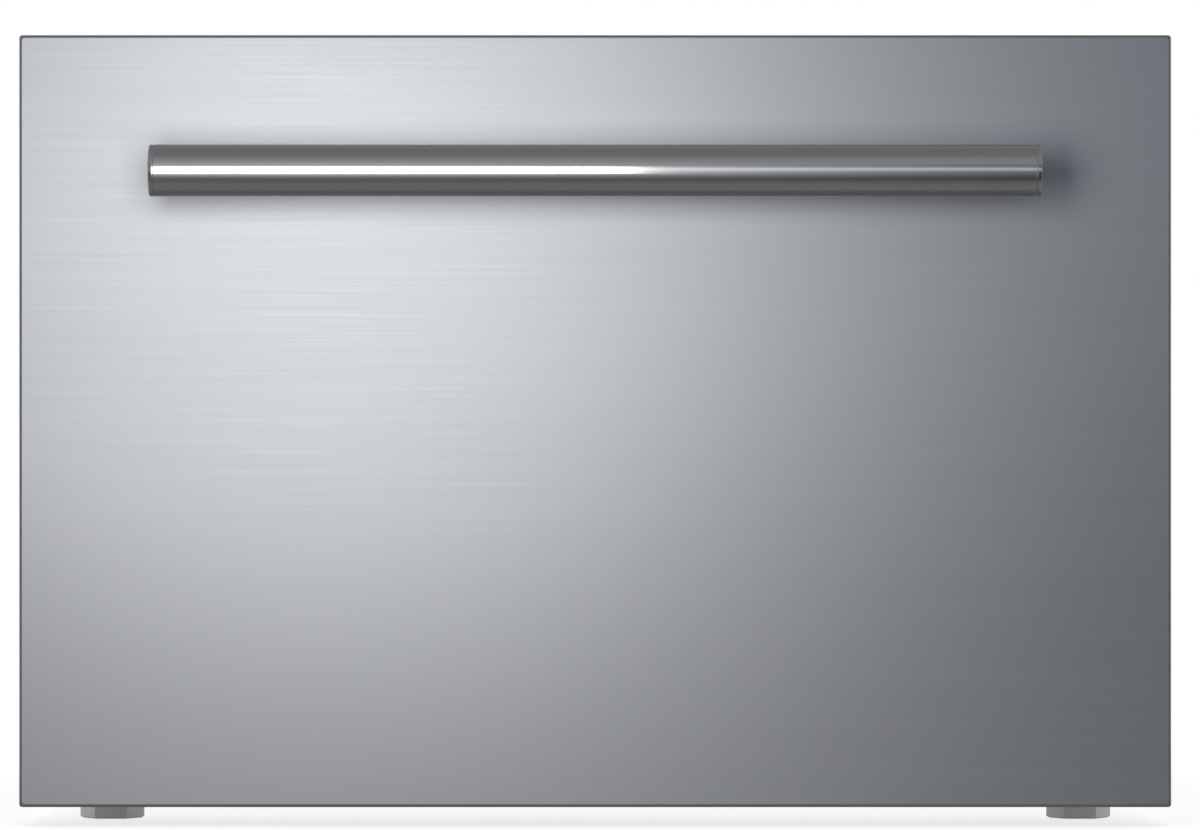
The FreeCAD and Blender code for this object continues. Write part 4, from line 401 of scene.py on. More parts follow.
def dress(node: str, finish: "Finish") -> None:
    """Give a CAD node a finish in place of its plain one."""
    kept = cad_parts[node]
    kept.data.materials.clear()
    kept.data.materials.append(finish.material())
    log.info("%s: dressed as %s", node, finish.slot)


def slab_grid(
    low: Sequence[float], high: Sequence[float], axis: Along, corner: float, edge: float, steps: int = 4
) -> Array:
    """A block with round corners about one axis and softly turned edges at both its ends.

    Each end is a quarter circle: a ring is drawn in by the edge less its cosine, and lies the
    edge less its sine before the end.

    Args:
        low: The block's lowest corner.
        high: Its highest corner.
        axis: The axis that its round corners run along.
        corner: Radius of those corners.
        edge: Radius of the turn at its ends.
        steps: Points in each corner.

    Returns:
        A grid of points, one row per ring.
    """
    first, second, third = axis.value
    bend = arc(edge, 90.0, 0.0, 4)
    rings = [Ring(edge - x, low[third] + edge - y, corner) for x, y in bend]
    rings += [Ring(edge - x, high[third] - edge + y, corner) for x, y in reversed(bend)]
    centre = ((low[first] + high[first]) / 2, (low[second] + high[second]) / 2)
    half = ((high[first] - low[first]) / 2, (high[second] - low[second]) / 2)
    return ring_grid(centre, half, rings, axis, steps)


def swung(grid: Array, centre: Sequence[float], axis: Along, degrees: float) -> Array:
    """A grid turned about an axis through a point.

    The first drawn axis becomes cosine of itself less sine of the second, and the second becomes
    sine of the first plus cosine of itself.

    Args:
        grid: The points to turn.
        centre: A point on the axis.
        axis: The axis of the turn.
        degrees: How far to turn.

    Returns:
        The turned points.
    """
    first, second, _ = axis.value
    cosine, sine = math.cos(math.radians(degrees)), math.sin(math.radians(degrees))
    moved = grid - centre
    result = moved.copy()
    result[..., first] = moved[..., first] * cosine - moved[..., second] * sine
    result[..., second] = moved[..., first] * sine + moved[..., second] * cosine
    return result + centre


def lathe(centre: Sequence[float], profile: Profile, axis: Along, steps: int = 40) -> Shell:
    """A shell with one turned profile, closed at both its ends."""
    shell = Shell()
    shell.add(turned_grid(centre, profile, axis, steps))
    return shell


def ringed(box: Box, rings: Sequence[Ring], axis: Along, steps: int, closed: bool = False) -> Shell:
    """A shell of rounded rectangles carried along an axis, as wide and high as a box.

    Args:
        box: The box whose middle and size the rings have.
        rings: How far in, where along and how round each is.
        axis: The axis that they are carried along.
        steps: Points in each corner.
        closed: The last ring joins the first.

    Returns:
        The shell.
    """
    drawn = list(axis.value[:2])
    shell = Shell()
    shell.add(ring_grid(box.centre[drawn], box.half[drawn], rings, axis, steps), closed=closed)
    return shell


def islands(node: str) -> list[Array]:
    """Points of each separate solid of a CAD node.

    Points at one place count as one. Each starts with its own number, and every edge gives the
    lower number of its two ends to both, until nothing changes.
    """
    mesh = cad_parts[node].data
    spots = np.empty((len(mesh.vertices), 3), np.float32)
    mesh.vertices.foreach_get("co", spots.ravel())
    ends = np.empty(2 * len(mesh.edges), np.int32)
    mesh.edges.foreach_get("vertices", ends)
    _, kept, place = np.unique(spots.round(6), axis=0, return_index=True, return_inverse=True)
    first, second = place.ravel()[ends].reshape(-1, 2).T
    number = np.arange(len(kept))
    before = None
    while not np.array_equal(number, before):
        before = number.copy()
        np.minimum.at(number, first, number[second])
        np.minimum.at(number, second, number[first])
    points = spots[kept].astype(float)
    found = [points[number == island] for island in np.unique(number)]
    return sorted(found, key=lambda group: tuple(group.mean(axis=0).round(4)))


class Step(NamedTuple):
    """A smooth step: where it starts and ends, and its values there."""

    start: float
    end: float
    low: float
    high: float


class Sheet:
    """A material's node tree, with short ways to add and join nodes."""

    def __init__(self, name: str) -> None:
        """Make a material with one Principled shader, tied to the output."""
        self.owner = bpy.data.materials.new(name)
        self.owner.use_nodes = True
        self.tree = self.owner.node_tree
        self.shader = self.tree.nodes["Principled BSDF"]
        self.spot = self.node("ShaderNodeTexCoord").outputs["Object"]

    @classmethod
    def over(cls, world: bpy.types.World) -> "Sheet":
        """A sheet over a world's own node tree, which it empties."""
        sheet = cls.__new__(cls)
        sheet.owner = world
        sheet.tree = world.node_tree
        sheet.tree.nodes.clear()
        return sheet

    def node(self, kind: str, inputs: dict[str, object] | None = None, **settings: object) -> bpy.types.Node:
        """Add a node.

        Args:
            kind: The node's type.
            inputs: A value or an output for each named input.
            **settings: Attributes of the node.

        Returns:
            The node.
        """
        made = self.tree.nodes.new(kind)
        for name, setting in settings.items():
            setattr(made, name, setting)
        for name, source in (inputs or {}).items():
            self.join(source, made.inputs[name])
        return made

    def join(self, source: object, socket: Socket) -> None:
        """Link an output to a socket, or set the socket to a plain value."""
        if isinstance(source, bpy.types.NodeSocket):
            self.tree.links.new(source, socket)
        else:
            socket.default_value = source

    def stretched(self, across: float, deep: float, up: float) -> Socket:
        """The piece's own coordinates, scaled on each axis."""
        scale = (across, deep, up)
        return self.node("ShaderNodeMapping", {"Vector": self.spot, "Scale": scale}).outputs["Vector"]

    def noise(self, where: Socket, scale: float, detail: float = 3.0) -> Socket:
        """Soft noise at a place, from 0 to 1."""
        inputs = {"Vector": where, "Scale": scale, "Detail": detail}
        return self.node("ShaderNodeTexNoise", inputs).outputs["Fac"]

    def cells(self, where: Socket, scale: float) -> Socket:
        """Distance to the nearest of many scattered points."""
        inputs = {"Vector": where, "Scale": scale}
        return self.node("ShaderNodeTexVoronoi", inputs).outputs["Distance"]

    def between(self, share: Socket, low: float, high: float) -> Socket:
        """A share from 0.3 to 0.7 spread over a range of values."""
        inputs = {"Value": share, "From Min": 0.3, "From Max": 0.7, "To Min": low, "To Max": high}
        return self.node("ShaderNodeMapRange", inputs).outputs["Result"]

    def maths(self, operation: str, first: object, second: object) -> Socket:
        """One step of arithmetic on two values or outputs."""
        return self.node("ShaderNodeMath", {0: first, 1: second}, operation=operation).outputs[0]

    def step(self, value: Socket, step: Step) -> Socket:
        """A smooth step from one value to another as a value goes from its start to its end."""
        names = ("From Min", "From Max", "To Min", "To Max")
        inputs = {"Value": value, **dict(zip(names, step))}
        return self.node("ShaderNodeMapRange", inputs, interpolation_type="SMOOTHSTEP").outputs["Result"]

    def tint(self, share: Socket, dark: Colour, light: Colour) -> Socket:
        """A colour between two, by a share."""
        ramp = self.node("ShaderNodeValToRGB", {"Fac": share})
        ramp.color_ramp.elements[0].position = 0.3
        ramp.color_ramp.elements[0].color = (*dark, 1.0)
        ramp.color_ramp.elements[1].position = 0.7
        ramp.color_ramp.elements[1].color = (*light, 1.0)
        return ramp.outputs["Color"]

    def relief(self, height: Socket, strength: float, depth: float) -> None:
        """Bump the surface by a height, at most depth metres."""
        inputs = {"Height": height, "Strength": strength, "Distance": depth}
        self.join(self.node("ShaderNodeBump", inputs).outputs["Normal"], self.shader.inputs["Normal"])

    def surface(self, **values: object) -> None:
        """Set or link the shader's sockets, named with _ for each space."""
        for name, source in values.items():
            self.join(source, self.shader.inputs[name.replace("_", " ")])


def shade(colour: Colour, factor: float) -> Colour:
    """A colour made darker or lighter by a factor."""
    return tuple(min(1.0, channel * factor) for channel in colour)


MADE: dict["Finish", bpy.types.Material] = {}


@dataclass(frozen=True)
class Finish:
    """A finish: the record's slot it belongs to, its colour and its roughness."""

    slot: str
    colour: Colour
    roughness: float

    def material(self) -> bpy.types.Material:
        """The finish's material, made once and then shared."""
        if self not in MADE:
            sheet = Sheet(f"{type(self).__name__}_{self.slot}_{len(MADE)}")
            self.paint(sheet)
            MADE[self] = sheet.owner
        return MADE[self]

    def paint(self, sheet: Sheet) -> None:
        """Draw the finish on a node sheet."""
        raise NotImplementedError

    def coat(self, sheet: Sheet, tone: Socket, shades: Pair, wear: Socket, spread: Pair, **more: object) -> None:
        """Set colour and roughness, each between two values near the finish's own.

        Args:
            sheet: The node sheet.
            tone: Share that goes from the darker to the lighter shade.
            shades: The two shades, as factors of the colour.
            wear: Share that goes from the smoother to the rougher value.
            spread: The two values, as steps from the roughness.
            **more: Other sockets of the shader.
        """
        sheet.surface(
            Base_Color=sheet.tint(tone, shade(self.colour, shades[0]), shade(self.colour, shades[1])),
            Roughness=sheet.between(wear, self.roughness + spread[0], self.roughness + spread[1]),
            **more,
        )


@dataclass(frozen=True)
class BrushedSteel(Finish):
    """Stainless steel with long fine brush lines and faint cloudy patches."""

    brush: Point = (9.0, 1400.0, 1400.0)
    line_depth: float = 2.0e-6

    def paint(self, sheet: Sheet) -> None:
        """Brush lines are noise stretched over a hundredfold along X; clouds are broad noise."""
        fine = sheet.noise(sheet.stretched(*self.brush), 1.0, 2.0)
        cloud = sheet.noise(sheet.stretched(1.0, 1.0, 2.5), 3.0, 2.0)
        both = sheet.maths("ADD", sheet.maths("MULTIPLY", fine, 0.7), sheet.maths("MULTIPLY", cloud, 0.3))
        self.coat(sheet, fine, (0.975, 1.02), both, (-0.02, 0.02), Metallic=1.0)
        sheet.relief(fine, 0.35, self.line_depth)


@dataclass(frozen=True)
class PolishedSteel(BrushedSteel):
    """Brushed steel that was polished over: a sharp reflection above the brushing's broad one."""

    polish: float = 0.09

    def paint(self, sheet: Sheet) -> None:
        """The polish is a clear layer of high index over the brushed metal."""
        super().paint(sheet)
        sheet.surface(Coat_Weight=1.0, Coat_IOR=4.0, Coat_Roughness=self.polish)


@dataclass(frozen=True)
class ZincPlate(Finish):
    """Zinc-plated sheet steel: a cool grey with soft spangle and rolling marks."""

    def paint(self, sheet: Sheet) -> None:
        """Spangle is the distance to scattered points; rolling marks are stretched noise."""
        spangle = sheet.cells(sheet.spot, 190.0)
        rolled = sheet.noise(sheet.stretched(60.0, 4.0, 60.0), 4.0)
        mixed = sheet.maths("MULTIPLY", spangle, rolled)
        self.coat(sheet, rolled, (0.9, 1.0), rolled, (-0.05, 0.07), Metallic=1.0)
        sheet.relief(mixed, 0.15, 2.0e-5)


@dataclass(frozen=True)
class CoatedSteel(Finish):
    """Steel with a sprayed coat and its faint orange peel."""

    gloss: float = 0.5

    def paint(self, sheet: Sheet) -> None:
        """Orange peel is soft noise of about two millimetres."""
        peel = sheet.noise(sheet.spot, 520.0, 1.0)
        cloud = sheet.noise(sheet.spot, 9.0)
        self.coat(sheet, cloud, (0.94, 1.04), cloud, (-0.04, 0.05), Specular_IOR_Level=self.gloss)
        sheet.relief(peel, 0.12, 6.0e-5)


@dataclass(frozen=True)
class MouldedPlastic(Finish):
    """Moulded plastic: a fine spark grain and faint flow in its colour."""

    grain: float = 1600.0
    grain_depth: float = 2.0e-5

    def paint(self, sheet: Sheet) -> None:
        """The grain is fine noise, and the flow is broad noise in colour and gloss."""
        grain = sheet.noise(sheet.spot, self.grain, 2.0)
        flow = sheet.noise(sheet.stretched(1.0, 1.0, 2.0), 7.0)
        self.coat(sheet, flow, (0.965, 1.015), flow, (-0.04, 0.05))
        sheet.relief(grain, 0.25, self.grain_depth)


@dataclass(frozen=True)
class SoftRubber(Finish):
    """Dull rubber or soft vinyl with dust in its grain."""

    def paint(self, sheet: Sheet) -> None:
        """Dust is broken noise that lightens the colour and dulls the surface."""
        dust = sheet.noise(sheet.spot, 160.0, 5.0)
        grain = sheet.noise(sheet.spot, 2400.0, 1.0)
        self.coat(sheet, dust, (1.0, 1.18), dust, (0.0, 0.12), Sheen_Weight=0.15)
        sheet.relief(grain, 0.2, 3.0e-5)


@dataclass(frozen=True)
class BareMetal(Finish):
    """Bare aluminium, copper or ground steel, with handling marks and a little tarnish."""

    tarnish: float = 0.8

    def paint(self, sheet: Sheet) -> None:
        """Tarnish is broad noise between the bright colour and a darker one."""
        patch = sheet.noise(sheet.spot, 22.0, 4.0)
        scratch = sheet.noise(sheet.stretched(30.0, 900.0, 900.0), 1.0, 2.0)
        self.coat(sheet, patch, (self.tarnish, 1.0), patch, (-0.04, 0.08), Metallic=1.0)
        sheet.relief(scratch, 0.1, 8.0e-6)


@dataclass(frozen=True)
class ClearPlastic(Finish):
    """Clear plastic, lightly frosted on its back by fine prisms."""

    prism: float = 260.0

    def paint(self, sheet: Sheet) -> None:
        """The prisms are evenly spaced waves across the piece."""
        inputs = {"Vector": sheet.spot, "Scale": self.prism}
        wave = sheet.node("ShaderNodeTexWave", inputs, bands_direction="X").outputs["Fac"]
        sheet.surface(
            Base_Color=(*self.colour, 1.0),
            Roughness=sheet.between(sheet.noise(sheet.spot, 30.0), self.roughness, self.roughness + 0.06),
            Transmission_Weight=0.85,
            IOR=1.49,
        )
        sheet.relief(wave, 0.3, 2.0e-4)


@dataclass(frozen=True)
class RigidFoam(Finish):
    """Blown foam with open cells at its cut faces, each cell's hollow darkened by painted shade."""

    def paint(self, sheet: Sheet) -> None:
        """Cells are the distance to scattered points: relief, and colour darkened in each pit as painted shade.
        """
        cell_pits_and_shade = sheet.cells(sheet.spot, 620.0)
        # painted shade: the colour falls to 0.8 towards each cell's pit, where the relief is lowest
        self.coat(sheet, cell_pits_and_shade, (0.8, 1.0), cell_pits_and_shade, (-0.05, 0.0))
        sheet.relief(cell_pits_and_shade, 0.6, 4.0e-4)


@dataclass(frozen=True)
class CircuitBoard(Finish):
    """A lacquered board with copper paths under its green."""

    def paint(self, sheet: Sheet) -> None:
        """Paths are a squared-off wave, seen as a lighter green and a low relief."""
        inputs = {"Vector": sheet.spot, "Scale": 170.0, "Distortion": 6.0}
        wave = sheet.node("ShaderNodeTexWave", inputs, wave_profile="TRI").outputs["Fac"]
        self.coat(sheet, wave, (1.0, 1.9), wave, (0.0, 0.1))
        sheet.relief(wave, 0.3, 5.0e-5)


STEEL = BrushedSteel("stainless", (0.487, 0.508, 0.541), 0.45)
BAR_STEEL = PolishedSteel("stainless", (0.56, 0.575, 0.60), 0.42, line_depth=8.0e-7)
FRAME_STEEL = BrushedSteel("stainless", (0.56, 0.57, 0.58), 0.34)
ZINC = ZincPlate("zinc_steel", (0.62, 0.64, 0.66), 0.38)
GREY_COAT = CoatedSteel("grey_steel", (0.36, 0.37, 0.385), 0.42)
BLACK_COAT = CoatedSteel("black_enamel", (0.012, 0.012, 0.013), 0.30)
WHITE_PLASTIC = MouldedPlastic("white_plastic", (0.80, 0.81, 0.82), 0.30)
FOOT_NYLON = MouldedPlastic("white_plastic", (0.86, 0.86, 0.85), 0.5, grain=700.0)
GREY_PLASTIC = MouldedPlastic("grey_plastic", (0.46, 0.48, 0.50), 0.42)
BLACK_PLASTIC = MouldedPlastic("black_plastic", (0.018, 0.018, 0.020), 0.46, grain=900.0)
GREY_RUBBER = SoftRubber("grey_rubber", (0.30, 0.31, 0.32), 0.62)
BLACK_RUBBER = SoftRubber("black_rubber", (0.02, 0.02, 0.02), 0.66)
COPPER = BareMetal("copper", (0.85, 0.45, 0.28), 0.26, tarnish=0.62)
FIN_METAL = BareMetal("fin_aluminium", (0.80, 0.81, 0.82), 0.34, tarnish=0.9)
BALL_STEEL = BareMetal("ball_steel", (0.72, 0.73, 0.75), 0.12, tarnish=0.92)
MAGNET = MouldedPlastic("magnet", (0.03, 0.03, 0.032), 0.55, grain=1200.0)
CLEAR = ClearPlastic("clear_plastic", (0.93, 0.96, 0.98), 0.12)
FOAM = RigidFoam("foam", (0.72, 0.58, 0.24), 0.9)
BOARD = CircuitBoard("board", (0.006, 0.06, 0.02), 0.28)


@dataclass
class DrawerFront:
    """The insulated front: its folded skin, its moulded inner panel and the gasket."""

    skin: Box = boxed("front_skin")
    panel: Box = boxed("front_panel")
    seal: Box = boxed("gasket")
    sheet: float = 0.0008
    bend: float = 0.0016
    hem: float = 0.012
    panel_wall: float = 0.002
    lip: float = 0.003
    plug_inset: float = 0.050
    plug_rise: float = 0.014
    plug_corner: float = 0.009
    plug_rim: float = 0.016
    strip: float = 0.016
    strip_edge: float = 0.0016
    strip_fold: float = 0.0026

    def skin_shell(self) -> Shell:
        """The face, its bent edges, the sides and the hem behind, as one closed sheet.

        Each ring is a rounded rectangle. The outer bend is a quarter circle: inset is the bend
        times one less the cosine, and depth is the bend times one less the sine.
        """
        front, back = self.skin.low[1], self.skin.high[1]
        rings = [(self.bend - x, front + self.bend - y) for x, y in arc(self.bend, 90.0, 0.0, 7)]
        rings += [
            (0.0, back - self.sheet),
            (self.sheet, back),
            (self.hem, back),
            (self.hem, back - self.sheet),
            (self.sheet, back - self.sheet),
            (self.sheet, front + self.bend),
            (self.bend, front + self.sheet),
        ]
        return ringed(self.skin, [Ring(inset, along, self.bend) for inset, along in rings], Along.Y, 5)

    def panel_shell(self) -> Shell:
        """The inner panel: a flat border, a groove for the gasket and the raised middle."""
        back = self.panel.high[1]
        face = back - self.plug_rise
        plug = self.plug_inset - self.lip
        rim = plug + self.plug_rim
        rings = [
            Ring(0.0, face - self.panel_wall, 0.004),
            Ring(0.0, face - 0.0006, 0.004),
            Ring(0.0006, face, 0.004),
            Ring(plug - 0.0015, face, 0.010),
        ]
        middle = [
            (plug - 0.0003, face + 0.0004),
            (plug, face + 0.0015),
            (plug, back - 0.003),
            (plug + 0.0009, back - 0.0009),
            (plug + 0.003, back),
            (rim, back),
            (rim + 0.0006, back - 0.0004),
            (rim + 0.0016, back - 0.0011),
            (rim + 0.003, back - 0.0014),
        ]
        rings += [Ring(inset, along, self.plug_corner) for inset, along in middle]
        return ringed(self.panel, rings, Along.Y, 8)

    def gasket_shell(self) -> Shell:
        """The gasket's section, carried round the opening and closed on itself.

        The section is a base, one soft bellows fold drawn in on the square of a half wave, and a
        plump magnetic lip.
        """
        front, back = self.seal.low[1], self.seal.high[1]
        round_lip = self.strip_edge
        t = np.linspace(0.0, 1.0, 9)
        fold = self.strip_fold * np.sin(np.pi * t) ** 2
        rise = front + 0.0022 + t * (back - front - 0.0060)
        edge = [(0.0, front), (0.0, front + round_lip), *zip(fold, rise)]
        edge += arc(round_lip, 180.0, 90.0, 5, (round_lip, back - round_lip))
        inside = [(self.strip - x, y) for x, y in reversed(edge)]
        rings = [Ring(inset, along, 0.007) for inset, along in edge + inside]
        return ringed(self.seal, rings, Along.Y, 7, closed=True)

    def build(self) -> None:
        """Make the three pieces."""
        body = Body.DRAWER.value
        piece("front_skin_brushed", self.skin_shell(), STEEL, body, ["front_skin"])
        piece("front_inner_panel", self.panel_shell(), WHITE_PLASTIC, body, ["front_panel"])
        piece("front_gasket", self.gasket_shell(), GREY_RUBBER, body, ["gasket"], smooth=50)


@dataclass
class Handle:
    """The bar handle: a tube, its bevelled end caps and two posts on short feet."""

    bar: Box = boxed("handle_bar")
    caps: Box = boxed("handle_caps")
    posts: Box = boxed("handle_posts")
    post_radius: float = 0.0075
    cap_bevel: float = 0.0016
    cap_head: float = 0.003
    seam: float = 0.00035
    dome: float = 0.0003

    @property
    def radius(self) -> float:
        """Outer radius of the bar."""
        return float(self.bar.half[2])

    def bar_shell(self) -> Shell:
        """A plain tube with a hair-fine break at each end."""
        half, wide = self.bar.half[0], self.radius
        profile = [(wide, half - self.seam), (wide - self.seam, half)]
        profile = [(radius, -along) for radius, along in reversed(profile)] + profile
        return lathe(self.bar.centre, profile, Along.X, 96)

    def caps_shell(self) -> Shell:
        """Two turned caps: a waist at the seam, a short barrel, a bevel and a slightly domed end.

        The end's rise is the dome's height times one less the square of the radius's share.
        """
        end = self.caps.half[0]
        joint = end - self.cap_head
        rim = self.radius - self.cap_bevel
        share = np.linspace(1.0, 0.0, 6)[:-1]
        profile = [
            (rim - 0.001, joint - 0.004),
            (rim - 0.001, joint),
            (self.radius - self.seam, joint),
            (self.radius, joint + self.seam),
            (self.radius, end - self.cap_bevel),
            (self.radius - 0.0004, end - self.cap_bevel + 0.0009),
            *[(rim * s, end - self.dome * s * s) for s in share],
            (POLE, end),
        ]
        shell = Shell()
        for side in (-1, 1):
            turned = [(radius, side * along) for radius, along in profile]
            shell.add(turned_grid(self.caps.centre, turned, Along.X, 96))
        return shell

    def posts_shell(self) -> Shell:
        """Two turned posts: a short foot with broken edges, and a stem that ends in the bar."""
        face = self.posts.high[1]
        tip = self.bar.centre[1] + self.radius * 0.75
        pitch = self.posts.half[0] - self.post_radius
        stem = self.post_radius - 0.0006
        profile = [
            (self.post_radius - 0.0004, 0.0),
            (self.post_radius, -0.0004),
            (self.post_radius, -0.0016),
            (stem, -0.0022),
            (stem, tip - face),
        ]
        shell = lathe((0.0, face, self.bar.centre[2]), profile, Along.Y, 48)
        shell.repeat([(side * pitch, 0.0, 0.0) for side in (-1, 1)])
        return shell

    def build(self) -> None:
        """Make the bar, the caps and the posts."""
        body = Body.DRAWER.value
        piece("handle_tube", self.bar_shell(), BAR_STEEL, body, ["handle_bar"])
        piece("handle_end_caps", self.caps_shell(), BAR_STEEL, body, ["handle_caps"])
        piece("handle_post_pair", self.posts_shell(), BAR_STEEL, body, ["handle_posts"])


@dataclass
class Bin:
    """The food bin: a deep front well and a shelf behind it, with a flat rim and floor ribs."""

    box: Box = boxed("bin")
    rim_reach: float = 0.007
    rim: float = 0.003
    wall: float = 0.003
    corner: float = 0.014
    shelf: float = 0.224
    step: float = 0.08525
    fillet: float = 0.006
    inner_edge: float = 0.0012
    rib: float = 0.0012
    rib_half: float = 0.0022

    @property
    def back(self) -> float:
        """Depth of the tub's back wall, under its rim."""
        return self.box.high[1] - self.rim_reach

    def ring(self, half: float, front: float, back: float, level: float, corner: float) -> Array:
        """One rounded rectangle of the tub.

        Args:
            half: Half its width.
            front: Depth of its front line.
            back: Depth of its back line.
            level: Its height.
            corner: Its corner radius.

        Returns:
            Its points, one row each.
        """
        across, deep = rounded_loop(*np.array([[half], [(back - front) / 2], [corner]]), 8)
        return Along.Z.place(across[0], (front + back) / 2 + deep[0], np.array(level))

    def walls(self, back: float, inset: float, level: float, corner: float) -> Array:
        """The tub's four walls cut at a level, all drawn in by an inset."""
        half = self.box.half[0] - self.rim_reach - inset
        return self.ring(half, self.box.low[1] + inset, back - inset, level, corner)

    def side(self, inset: float) -> list[Array]:
        """Rings of one skin of the tub, from under its rim to its floor.

        A bend is a quarter circle in which the inset or the back line goes with the cosine and
        the level with the sine. The shelf's own bends move the back line only.
        """
        low, shelf = self.box.low[2] + inset, self.shelf + inset
        outer, inner = self.corner - inset, self.fillet + inset
        rings = [self.walls(self.back, inset, self.box.high[2] - self.rim * 0.5, outer)]
        for x, z in arc(outer, 0.0, 90.0, 6):
            rings.append(self.walls(self.back - outer + x, inset, shelf + outer - z, outer))
        for x, z in arc(inner, 90.0, 0.0, 5):
            rings.append(self.walls(self.step + inner - x, inset, shelf - inner + z, outer))
        for x, z in arc(outer, 0.0, 90.0, 6):
            rings.append(self.walls(self.step, inset + outer - x, low + outer - z, outer))
        return rings

    def rim_rings(self) -> list[Array]:
        """The rim: out under its edge, round it, and back in over the top to the inner wall."""
        high = self.box.high[2]
        bend = self.rim / 2
        rings = [self.walls(self.back, 0.0, high - self.rim, self.corner)]
        for x, z in arc(bend, -90.0, 90.0, 7):
            half, back = self.box.half[0] - bend + x, self.box.high[1] - bend + x
            rings.append(self.ring(half, self.box.low[1], back, high - bend + z, self.corner))
        for x, z in arc(self.inner_edge, 90.0, 0.0, 4):
            level = high - self.inner_edge + z
            rings.append(self.walls(self.back, self.wall - x, level, self.corner - self.wall))
        return rings

    def shell(self) -> Shell:
        """The tub's outer skin from its floor up, the rim, the inner skin down, and the ribs."""
        outer, inner = self.side(0.0), self.side(self.wall)
        shell = Shell()
        shell.add(np.stack(outer[:0:-1] + self.rim_rings() + inner[1:]))
        self.add_ribs(shell)
        return shell

    def add_ribs(self, shell: Shell) -> None:
        """Low, round-topped ribs on both floors, at even steps across."""
        floors = (
            (self.box.low[1] + 0.026, self.step - 0.024, self.box.low[2] + self.wall),
            (self.step + 0.016, self.back - 0.026, self.shelf + self.wall),
        )
        for spot in np.linspace(-0.192, 0.192, 13):
            for start, end, level in floors:
                low = (spot - self.rib_half, start, level - 0.0006)
                high = (spot + self.rib_half, end, level + self.rib)
                shell.add(slab_grid(low, high, Along.Z, self.rib_half, 0.0008))

    def build(self) -> None:
        """Make the bin."""
        piece("food_bin", self.shell(), WHITE_PLASTIC, Body.DRAWER.value, ["bin"], smooth=40)


@dataclass
class BallCage:
    """A ball cage of a slide: a thin strip on each row with a window for each ball, and the balls."""

    node: str
    body: Body
    ball: float = 0.002
    room: float = 0.00015
    strip: float = 0.00025
    web: float = 0.0005
    longest_ball: float = 0.006

    def balls_shell(self, spots: Sequence[Array]) -> Shell:
        """A sphere at each spot.

        Its profile is the ball's radius times the sine and cosine of an angle from pole to pole.
        """
        turn = np.linspace(0.04, math.pi - 0.04, 13)
        profile = [(self.ball * math.sin(t), -self.ball * math.cos(t)) for t in turn]
        spheres = lathe((0.0, 0.0, 0.0), profile, Along.Z, 20)
        spheres.repeat(spots)
        return spheres

    def strip_shell(self, spots: Sequence[Array]) -> Shell:
        """Bars beside and between the balls of each row, and the web that joins the rows."""
        box = Box.of(self.node)
        rows, depths = (sorted({round(float(spot[axis]), 4) for spot in spots}) for axis in (2, 1))
        left, right = (float(spots[0][0]) + side * (self.ball + self.room) for side in (-1, 1))
        gaps = [depth + side * (self.ball + self.room) for depth in depths for side in (-1, 1)]
        edges = [box.low[1], *gaps, box.high[1]]
        spans = [(box.low[0], left, edges[0], edges[-1]), (right, box.high[0], edges[0], edges[-1])]
        spans += [(left, right, start, end) for start, end in zip(edges[::2], edges[1::2])]
        shell = Shell()
        for row in rows:
            for near, far, start, end in spans:
                low, high = (near, start, row - self.strip), (far, end, row + self.strip)
                shell.add(slab_grid(low, high, Along.Z, 0.00012, 0.0001, 2))
        wall = box.low[0] if left < 0 else box.high[0] - self.web
        low = (wall, box.low[1], rows[0] - self.strip)
        high = (wall + self.web, box.high[1], rows[-1] + self.strip)
        shell.add(slab_grid(low, high, Along.X, 0.0004, 0.00012, 2))
        return shell

    def build(self) -> None:
        """Find the balls among the node's solids, and make the spheres and their strip."""
        solids = islands(self.node)
        spots = [points.mean(axis=0) for points in solids if np.ptp(points[:, 1]) < self.longest_ball]
        piece(f"{self.node}_balls", self.balls_shell(spots), BALL_STEEL, self.body.value, [self.node])
        piece(f"{self.node}_strip", self.strip_shell(spots), ZINC, self.body.value)


